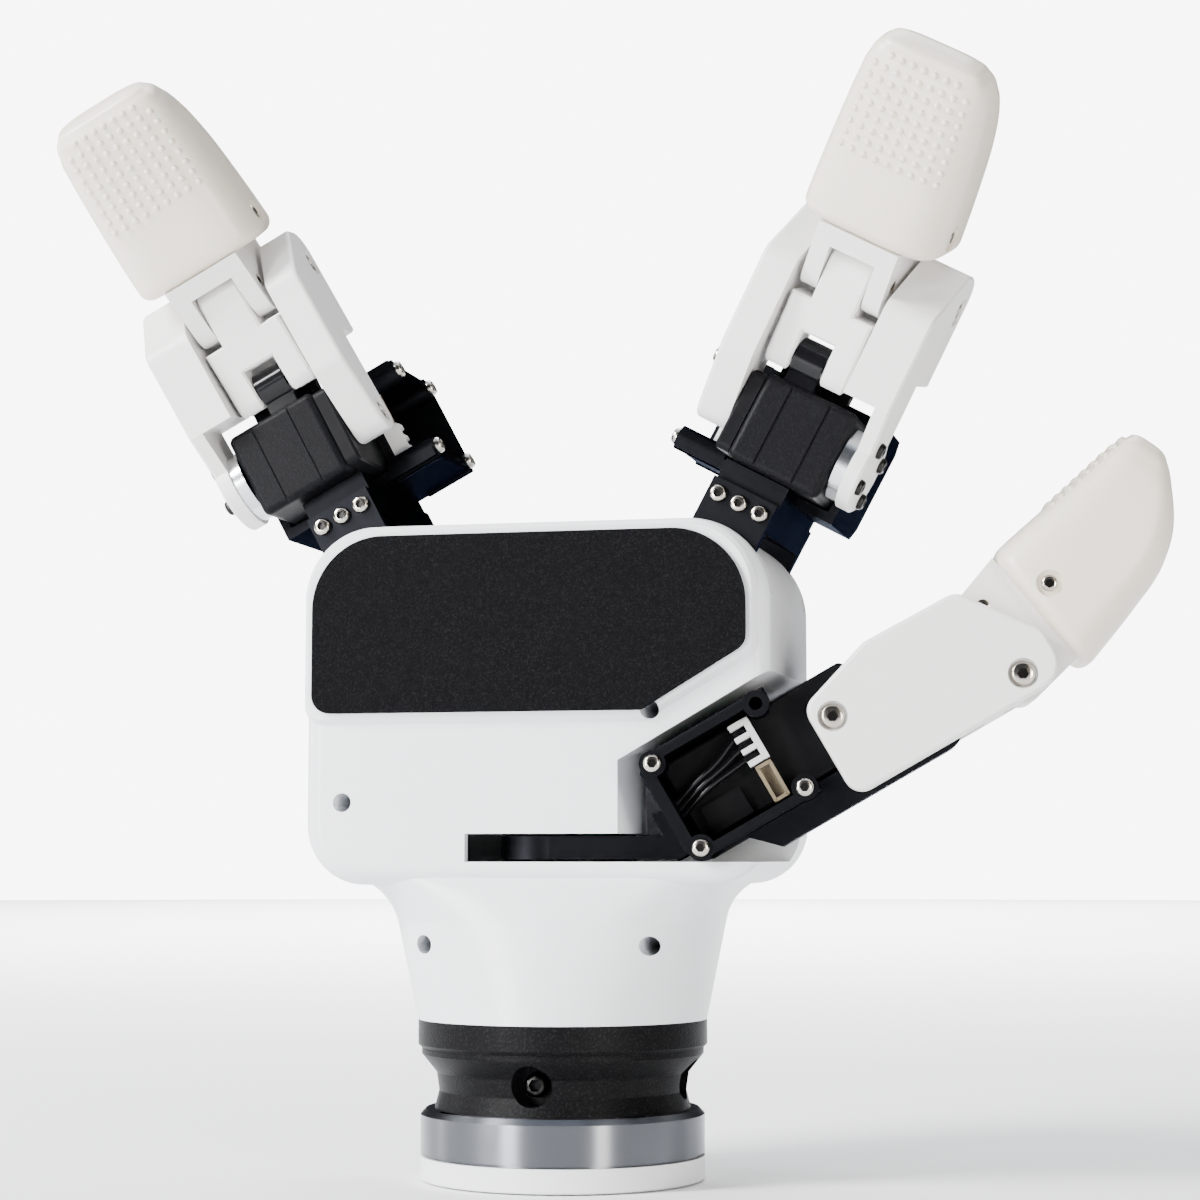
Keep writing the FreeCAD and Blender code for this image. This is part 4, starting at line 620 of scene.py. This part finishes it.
# Places of the screws in millimetres, and the horn's first screw in degrees
POSTS_ALONG = (12.6, 37.6)
POSTS_ACROSS = (-10.1, 10.1)
PLATE_FACES = ((-5.0, -1), (43.0, 1))
PLATE_ROW = -18.0
PLATE_PITCH = 5.0
HORN_CIRCLE = 6.5
HORN_TURN = 22.0
BRACKET_SPOT = (7.6, 15.0)
BRACKET_FACE = 8.4


def screw_shapes(kind, seat, outward, place):
    """Button-head screw, and a dark disc in its hexagon socket as painted shade.

    Rings run from the socket over a domed crown to the seat. The socket's radius at an angle is that of
    its flats over the cosine of the angle from the nearest flat's middle.
    """
    radius, height, socket = SCREW_SIZES[kind]
    turn = np.linspace(0, 2 * math.pi, ROUND_SIDES, endpoint=False)
    wedge = math.pi / 3
    hexagon = radius * socket / np.cos((turn + wedge / 2) % wedge - wedge / 2)
    head = [(hexagon * 0.5, 0.2), (hexagon * 0.98, 0.2), (hexagon, 0.24), (hexagon, 0.94),
            (hexagon * 1.05, 1.0), (radius * 0.72, 0.97), (radius * 0.84, 0.86), (radius * 0.94, 0.66),
            (radius * 0.99, 0.4), (radius, 0.2), (radius, 0.0), (radius * 0.5, 0.0)]
    # Dark disc low in the socket, on the second material: painted shade, not the steel's own colour
    floor = [(hexagon * 0.5, 0.36), (hexagon * 0.97, 0.36), (hexagon * 0.97, 0.22), (hexagon * 0.5, 0.22)]
    return [rings_shape(seat, outward, place, [(size, share * height) for size, share in head]),
            rings_shape(seat, outward, place, [(size, share * height) for size, share in floor], 1)]


def frame_screw_shapes(name):
    """Heads on the frame's posts and, on a finger, on both knuckle plates."""
    hand = HAND[name]
    place = digit_frame(name, "module")
    spots = [(x, y, -hand * FRAME_RIM, (0, 0, -hand)) for x in POSTS_ALONG for y in POSTS_ACROSS]
    if name == "thumb":
        # The first post's hole is open
        spots = spots[1:]
    else:
        spots += [(depth, PLATE_ROW, -hand * CENTRE + step * PLATE_PITCH, (out, 0, 0))
                  for depth, out in PLATE_FACES for step in (-1, 0, 1)]
    return [shape for x, y, z, out in spots for shape in screw_shapes("frame", (x, y, z), out, place)]


def pivot_screw_shapes(name):
    """Flat heads in the recesses at the flexion axis and at the tip's pivot."""
    hand = HAND[name]
    place = digit_frame(name, "proximal")
    spots = [(0, 0, -hand * IDLER_SEAT, -hand), (*TIP_PIVOT, -hand * IDLER_SEAT, -hand),
             (*TIP_PIVOT, hand * HORN_SEAT, hand)]
    return [shape for x, y, z, out in spots for shape in screw_shapes("pivot", (x, y, z), (0, 0, out), place)]


def horn_screw_shapes(name):
    """Four heads round the horn's axis on the thin arm."""
    hand = HAND[name]
    place = digit_frame(name, "proximal")
    shapes = []
    for turn in np.radians(HORN_TURN + 90.0 * np.arange(4)):
        seat = (HORN_CIRCLE * math.cos(turn), HORN_CIRCLE * math.sin(turn), hand * ARM_FACE)
        shapes += screw_shapes("horn", seat, (0, 0, hand), place)
    return shapes


def tip_screw_shapes(name):
    """Heads in the bores of the fingertip's sides, and on the bracket's sides."""
    place = digit_frame(name, "tip")
    middle = -HAND[name] * CENTRE
    shapes = []
    for seat, out in tip_screw_seats(name):
        shapes += screw_shapes("tip", seat, out, place)
    for sign in (-1, 1):
        shapes += screw_shapes("bracket", (*BRACKET_SPOT, middle + sign * BRACKET_FACE), (0, 0, sign), place)
    return shapes


def clamp_screw_shapes():
    """Four cap heads deep in the neck's access bores."""
    shapes = []
    for turn in np.radians((0, 90, 180, 270)):
        out = np.array([math.cos(turn), math.sin(turn), 0.0])
        shapes += screw_shapes("clamp", out * CLAMP_SEAT + (0, 0, CLAMP_HEIGHT), out, HAND_PLACE)
    return shapes


class HAND_OT_screws(bpy.types.Operator):
    """Socket-head screws of the wrist, frames, pivots, horns and fingertips"""

    bl_idname = "hand.screws"
    bl_label = "Screws"

    def execute(self, context):
        dark = finishes()["dark_steel"]
        # Second material of each list colours the sockets' dark discs: painted shade
        bright = [finishes()["steel"], dark]
        black = [dark, finishes()["servo_black"]]
        make_piece("clamp_heads", clamp_screw_shapes(), "palm", black, ["clamp_screws"])
        for name in DIGITS:
            make_piece(name + "_frame_heads", frame_screw_shapes(name), CARRIER[name], bright,
                       [name + "_frame_screws"])
            make_piece(name + "_pivot_heads", pivot_screw_shapes(name), name + "_proximal", bright,
                       [name + "_proximal_screws"])
            make_piece(name + "_horn_heads", horn_screw_shapes(name), name + "_proximal", black)
            make_piece(name + "_tip_heads", tip_screw_shapes(name), name + "_tip", bright,
                       [name + "_tip_screws"])
        return {"FINISHED"}


# Leads

# Places and sizes on an actuator's cover, in millimetres in the module's frame
PLUG_NEAR = 15.6
PLUG_FAR = 20.4
PLUG_MIDDLE = -4.3
PLUG_HALF_WIDTH = 4.9
PLUG_HEIGHT = 6.2
PLUG_FLOOR = 1.8
PLUG_BAR = 1.5
SLOT_HALF_WIDTH = 0.8
TOOTH_OVERLAP = 0.1
HEADER_HEIGHT = 2.4
HEADER_RIM = 0.2
SOCKET_LENGTH = (15.8, 19.6)
SOCKET_WIDTH = (1.0, 9.6)
SOCKET_WALL = 0.8
SOCKET_HEIGHT = 5.2
SOCKET_FLOOR = 2.6
SOCKET_OVERLAP = 0.4
BLOCK_EDGE = 0.2
WIRE_PITCH = 2.8
WIRE_START = 17.4
WIRE_END = 37.9
BUNDLE_PITCH = 1.45
BUNDLE_START = -2.1
BUNDLE_END = 0.6
WIRE_ARCH = 0.5
WIRE_DIP = 1.4
# Shares of a wire's length where it has joined the bundle, and where the bundle starts to swing
JOIN_SHARE = 0.55
SWING_SHARE = 0.45
# Sides of a wire, and points along it
WIRE_SIDES = 14
WIRE_POINTS = 40
# Power that squares a block's outline, and the scale of its two end faces
BLOCK_CURVE = 0.12
BLOCK_END = 0.94


def tube_shape(path, radius, place):
    """Round tube: circles square to the path, carried along it."""
    path = np.asarray(path, float)
    along = np.gradient(path, axis=0)
    along /= np.linalg.norm(along, axis=1, keepdims=True)
    side = np.cross(along, [0.0, 0.0, 1.0])
    side /= np.linalg.norm(side, axis=1, keepdims=True)
    other = np.cross(side, along)
    turn = np.linspace(0, 2 * math.pi, WIRE_SIDES, endpoint=False)[None, :, None]
    grid = path[:, None] + radius * (np.cos(turn) * side[:, None] + np.sin(turn) * other[:, None])
    return closed_surface(in_frame(grid, place))


def smooth_step(t):
    """Cubic step from 0 to 1, level at both ends."""
    t = np.clip(t, 0, 1)
    return t * t * (3 - 2 * t)


def wire_path(hand, step):
    """Wire from its plug slot to the frame's end wall.

    x runs evenly, y joins the bundle by a smooth step and then swings over, and the height dips late.
    """
    t = np.linspace(0, 1, WIRE_POINTS)
    x = WIRE_START + (WIRE_END - WIRE_START) * t
    slot = PLUG_MIDDLE + step * WIRE_PITCH
    bundle = BUNDLE_START + step * BUNDLE_PITCH
    y = slot + (bundle - slot) * smooth_step(t / JOIN_SHARE)
    y += (BUNDLE_END - BUNDLE_START) * np.clip((t - SWING_SHARE) / (1 - SWING_SHARE), 0, 1) ** 1.5
    rise = COVER_FACE + PLUG_HEIGHT / 2 + WIRE_ARCH * np.sin(math.pi * t) - WIRE_DIP * smooth_step(t) ** 3
    return np.stack([x, y, -hand * rise], axis=-1)


def cover_block(hand, place, length, width, height, paint=0):
    """Block on a cover, with softened edges: rings of a superellipse that is nearly a rectangle."""
    low, high = sorted((-hand * COVER_FACE, -hand * (COVER_FACE + height)))
    turn = np.linspace(0, 2 * math.pi, ROUND_SIDES, endpoint=False) + math.pi / ROUND_SIDES
    corner = np.stack([np.cos(turn), np.sin(turn)], axis=-1)
    spans = np.array([length, width])
    half = (spans[:, 1] - spans[:, 0]) / 2
    outline = np.sign(corner) * np.abs(corner) ** BLOCK_CURVE * half
    levels = ((BLOCK_END, low), (1.0, low + BLOCK_EDGE), (1.0, high - BLOCK_EDGE), (BLOCK_END, high))
    grid = np.array([np.column_stack([spans.mean(axis=1) + outline * scale, np.full(ROUND_SIDES, z)])
                     for scale, z in levels])
    return closed_surface(in_frame(grid, place), paint)


def plug_shapes(hand, place):
    """Plug: a back bar, a floor and four teeth that leave three slots for the wires, in a black header."""
    left = PLUG_MIDDLE - PLUG_HALF_WIDTH
    right = PLUG_MIDDLE + PLUG_HALF_WIDTH
    bar = (PLUG_NEAR, PLUG_NEAR + PLUG_BAR)
    teeth = (PLUG_NEAR + PLUG_BAR - TOOTH_OVERLAP, PLUG_FAR)
    shapes = [cover_block(hand, place, bar, (left, right), PLUG_HEIGHT),
              cover_block(hand, place, teeth, (left, right), PLUG_FLOOR)]
    slots = [PLUG_MIDDLE + step * WIRE_PITCH + side * SLOT_HALF_WIDTH
             for step in (-1, 0, 1) for side in (-1, 1)]
    edges = [left, *slots, right]
    shapes += [cover_block(hand, place, teeth, span, PLUG_HEIGHT) for span in zip(edges[::2], edges[1::2])]
    shapes.append(cover_block(hand, place, (PLUG_NEAR - HEADER_RIM, PLUG_FAR + HEADER_RIM),
                              (left - HEADER_RIM, right + HEADER_RIM), HEADER_HEIGHT, 1))
    return shapes


def socket_shapes(hand, place):
    """Spare socket: four thin walls round a deep floor."""
    near, far = SOCKET_LENGTH
    low, high = SOCKET_WIDTH
    inside = (near + SOCKET_OVERLAP, far - SOCKET_OVERLAP)
    shapes = [cover_block(hand, place, (x, x + SOCKET_WALL), SOCKET_WIDTH, SOCKET_HEIGHT)
              for x in (near, far - SOCKET_WALL)]
    shapes += [cover_block(hand, place, inside, (y, y + SOCKET_WALL), SOCKET_HEIGHT)
               for y in (low, high - SOCKET_WALL)]
    across = (low + SOCKET_OVERLAP, high - SOCKET_OVERLAP)
    shapes.append(cover_block(hand, place, inside, across, SOCKET_FLOOR))
    return shapes


class HAND_OT_leads(bpy.types.Operator):
    """White plugs, black wires and the spare sockets on the actuators' covers"""

    bl_idname = "hand.leads"
    bl_label = "Leads"

    def execute(self, context):
        paint = finishes()
        radius = sizes().wire_radius / MM
        for name in DIGITS:
            hand = HAND[name]
            place = digit_frame(name, "module")
            carrier = CARRIER[name]
            wires = [tube_shape(wire_path(hand, step), radius, place) for step in (-1, 0, 1)]
            make_piece(name + "_wires", wires, carrier, [paint["glossy_black"]],
                       [name + "_actuator_lead"])
            make_piece(name + "_plug", plug_shapes(hand, place), carrier,
                       [paint["plug_white"], paint["servo_black"]])
            make_piece(name + "_socket", socket_shapes(hand, place), carrier, [paint["socket"]])
        return {"FINISHED"}


# Finishes of the solids

# The shell's and the neck's screws take dark steel; on the shell's screws, deep in their holes, it is painted
# shade that darkens the holes' bottoms
SPECIAL_FINISH = {"linkage_anchor": "glossy_black", "screws": "dark_steel"}


class HAND_OT_finishes(bpy.types.Operator):
    """Materials for every solid of the hand"""

    bl_idname = "hand.finishes"
    bl_label = "Finishes"

    def execute(self, context):
        paint = finishes()
        for name, item in frame["nodes"].items():
            item.data.materials.clear()
            item.data.materials.append(paint[SPECIAL_FINISH.get(name.split("_", 1)[1], SLOT_OF[name])])
        return {"FINISHED"}


# Stage

# Metres and degrees, with the lens and the sensor in millimetres
CAMERA_AZIMUTH = 14.0
CAMERA_DISTANCE = 0.597
CAMERA_HEIGHT = 0.07035
CAMERA_PITCH = 5.55
CAMERA_YAW = 0.79
CAMERA_LENS = 79.6
SENSOR_WIDTH = 36.0
FLOOR_RADIUS = 4.0
FLOOR_DROP = 0.0003
FLOOR_SIDES = 64
# Strengths of the room's light, of the light overhead and of the surround that the camera sees
ROOM_LIGHT = 0.06
OVERHEAD_LIGHT = 2.0
SURROUND_LIGHT = 8.0
ROOM_TINT = (0.82, 0.88, 1.0, 1.0)
# Heights on the unit sphere between which the room's light turns into that overhead
OVERHEAD_EDGE = (0.70, 0.95)


def add_camera():
    """Camera round the hand's axis, pitched up and turned slightly to the right."""
    azimuth = math.radians(CAMERA_AZIMUTH)
    forward = Vector((-math.sin(azimuth), math.cos(azimuth), 0))
    right = Vector((math.cos(azimuth), math.sin(azimuth), 0))
    up = Vector((0, 0, 1))
    yaw = math.radians(CAMERA_YAW)
    pitch = math.radians(CAMERA_PITCH)
    ahead = forward * math.cos(yaw) + right * math.sin(yaw)
    beside = right * math.cos(yaw) - forward * math.sin(yaw)
    look = ahead * math.cos(pitch) + up * math.sin(pitch)
    above = up * math.cos(pitch) - ahead * math.sin(pitch)
    data = bpy.data.cameras.new("photo_camera")
    data.lens = CAMERA_LENS
    data.sensor_width = SENSOR_WIDTH
    camera = bpy.data.objects.new("photo_camera", data)
    place = Matrix((beside, above, -look)).transposed().to_4x4()
    place.translation = -forward * CAMERA_DISTANCE + up * CAMERA_HEIGHT
    camera.matrix_world = place
    bpy.context.scene.collection.objects.link(camera)
    bpy.context.scene.camera = camera


def add_light(name, place, size, power, tint=(1, 1, 1), target=(0.0, 0.0, 0.12), spread=180.0):
    """Soft box of a width and height, turned to a target, and hidden from the camera itself."""
    data = bpy.data.lights.new(name, "AREA")
    data.shape = "RECTANGLE"
    data.size = size[0]
    data.size_y = size[1]
    data.energy = power * sizes().light
    data.color = tint
    data.spread = math.radians(spread)
    light = bpy.data.objects.new(name, data)
    light.location = place
    light.rotation_euler = (Vector(target) - Vector(place)).to_track_quat("-Z", "Y").to_euler()
    light.visible_camera = False
    bpy.context.scene.collection.objects.link(light)


def add_world():
    """Dim studio with an even light from overhead, and a white surround behind the hand."""
    world = bpy.data.worlds.new("studio")
    world.use_nodes = True
    tree = world.node_tree
    room = tree.nodes["Background"]
    room.inputs["Color"].default_value = ROOM_TINT
    place = node(tree, "ShaderNodeTexCoord").outputs["Generated"]
    height = node(tree, "ShaderNodeSeparateXYZ", [(0, place)]).outputs["Z"]
    low, high = OVERHEAD_EDGE
    fade = node(tree, "ShaderNodeMapRange", [("Value", height), ("From Min", low), ("From Max", high),
                                             ("To Min", ROOM_LIGHT), ("To Max", OVERHEAD_LIGHT)])
    tree.links.new(fade.outputs[0], room.inputs["Strength"])
    white = node(tree, "ShaderNodeBackground", [("Color", (1, 1, 1, 1)), ("Strength", SURROUND_LIGHT)])
    seen = node(tree, "ShaderNodeLightPath").outputs["Is Camera Ray"]
    mixed = node(tree, "ShaderNodeMixShader", [(0, seen), (1, room.outputs[0]), (2, white.outputs[0])])
    tree.links.new(mixed.outputs[0], tree.nodes["World Output"].inputs["Surface"])
    bpy.context.scene.world = world


def add_floor():
    """Pale round floor just under the hand: a circle's points as one face."""
    angle = np.linspace(0, 2 * math.pi, FLOOR_SIDES, endpoint=False)
    circle = FLOOR_RADIUS * np.stack([np.cos(angle), np.sin(angle)], axis=-1)
    mesh = bpy.data.meshes.new("floor")
    mesh.from_pydata(np.column_stack([circle, np.full(FLOOR_SIDES, -FLOOR_DROP)]).tolist(), [],
                     [tuple(range(FLOOR_SIDES))])
    mesh.materials.append(plastic("pale_floor", (0.9, 0.9, 0.9), 0.8, drift=0.02))
    floor = bpy.data.objects.new("floor", mesh)
    bpy.context.scene.collection.objects.link(floor)


class HAND_OT_stage(bpy.types.Operator):
    """Pale floor, soft studio light and the camera"""

    bl_idname = "hand.stage"
    bl_label = "Stage"

    def execute(self, context):
        add_floor()
        add_world()
        add_light("key", (-0.95, -0.75, 0.90), (0.4, 0.7), 58.0)
        add_light("front_strip", (-0.5, -0.9, 0.16), (0.22, 0.3), 9.0)
        add_light("right_low", (0.75, -0.75, 0.14), (0.18, 0.26), 5.5, (1.0, 0.95, 0.88))
        add_light("right_strip", (0.75, -0.75, 0.40), (0.16, 0.9), 1.4, (1.0, 0.93, 0.84))
        add_light("left_strip", (-1.0, 0.18, 0.5), (0.14, 1.0), 4.0)
        add_light("rear_right", (0.75, 0.78, 0.5), (0.2, 1.0), 1.0)
        add_light("far_floor", (-0.55, 2.5, 2.0), (2.6, 3.4), 220.0, target=(-0.55, 2.5, 0.0), spread=80.0)
        add_camera()
        return {"FINISHED"}


class HAND_PT_panel(bpy.types.Panel):
    """Lists the hand's operators and values"""

    bl_idname = "HAND_PT_panel"
    bl_label = "Robotic hand"
    bl_space_type = "VIEW_3D"
    bl_region_type = "UI"
    bl_category = "Hand"

    def draw(self, context):
        for operator in OPERATORS:
            self.layout.operator(operator.bl_idname)
        for group in (context.scene.hand_sizes, context.scene.hand_colours):
            for key in group.bl_rna.properties.keys():
                if key not in ("rna_type", "name"):
                    self.layout.prop(group, key)


OPERATORS = (HAND_OT_stage, HAND_OT_finishes, HAND_OT_fingertips, HAND_OT_screws, HAND_OT_leads)
CLASSES = (HandColours, HandSizes) + OPERATORS + (HAND_PT_panel,)


def register():
    """Adds the classes and the scene's own values to Blender."""
    for item in CLASSES:
        bpy.utils.register_class(item)
    bpy.types.Scene.hand_colours = bpy.props.PointerProperty(type=HandColours)
    bpy.types.Scene.hand_sizes = bpy.props.PointerProperty(type=HandSizes)


def unregister():
    """Takes them out again."""
    del bpy.types.Scene.hand_sizes
    del bpy.types.Scene.hand_colours
    for item in reversed(CLASSES):
        bpy.utils.unregister_class(item)


def main():
    """Builds the scene round the solids."""
    register()
    bpy.ops.hand.stage()
    bpy.ops.hand.finishes()
    bpy.ops.hand.fingertips()
    bpy.ops.hand.screws()
    bpy.ops.hand.leads()
    bpy.context.view_layer.update()


if __name__ == "__main__":
    main()
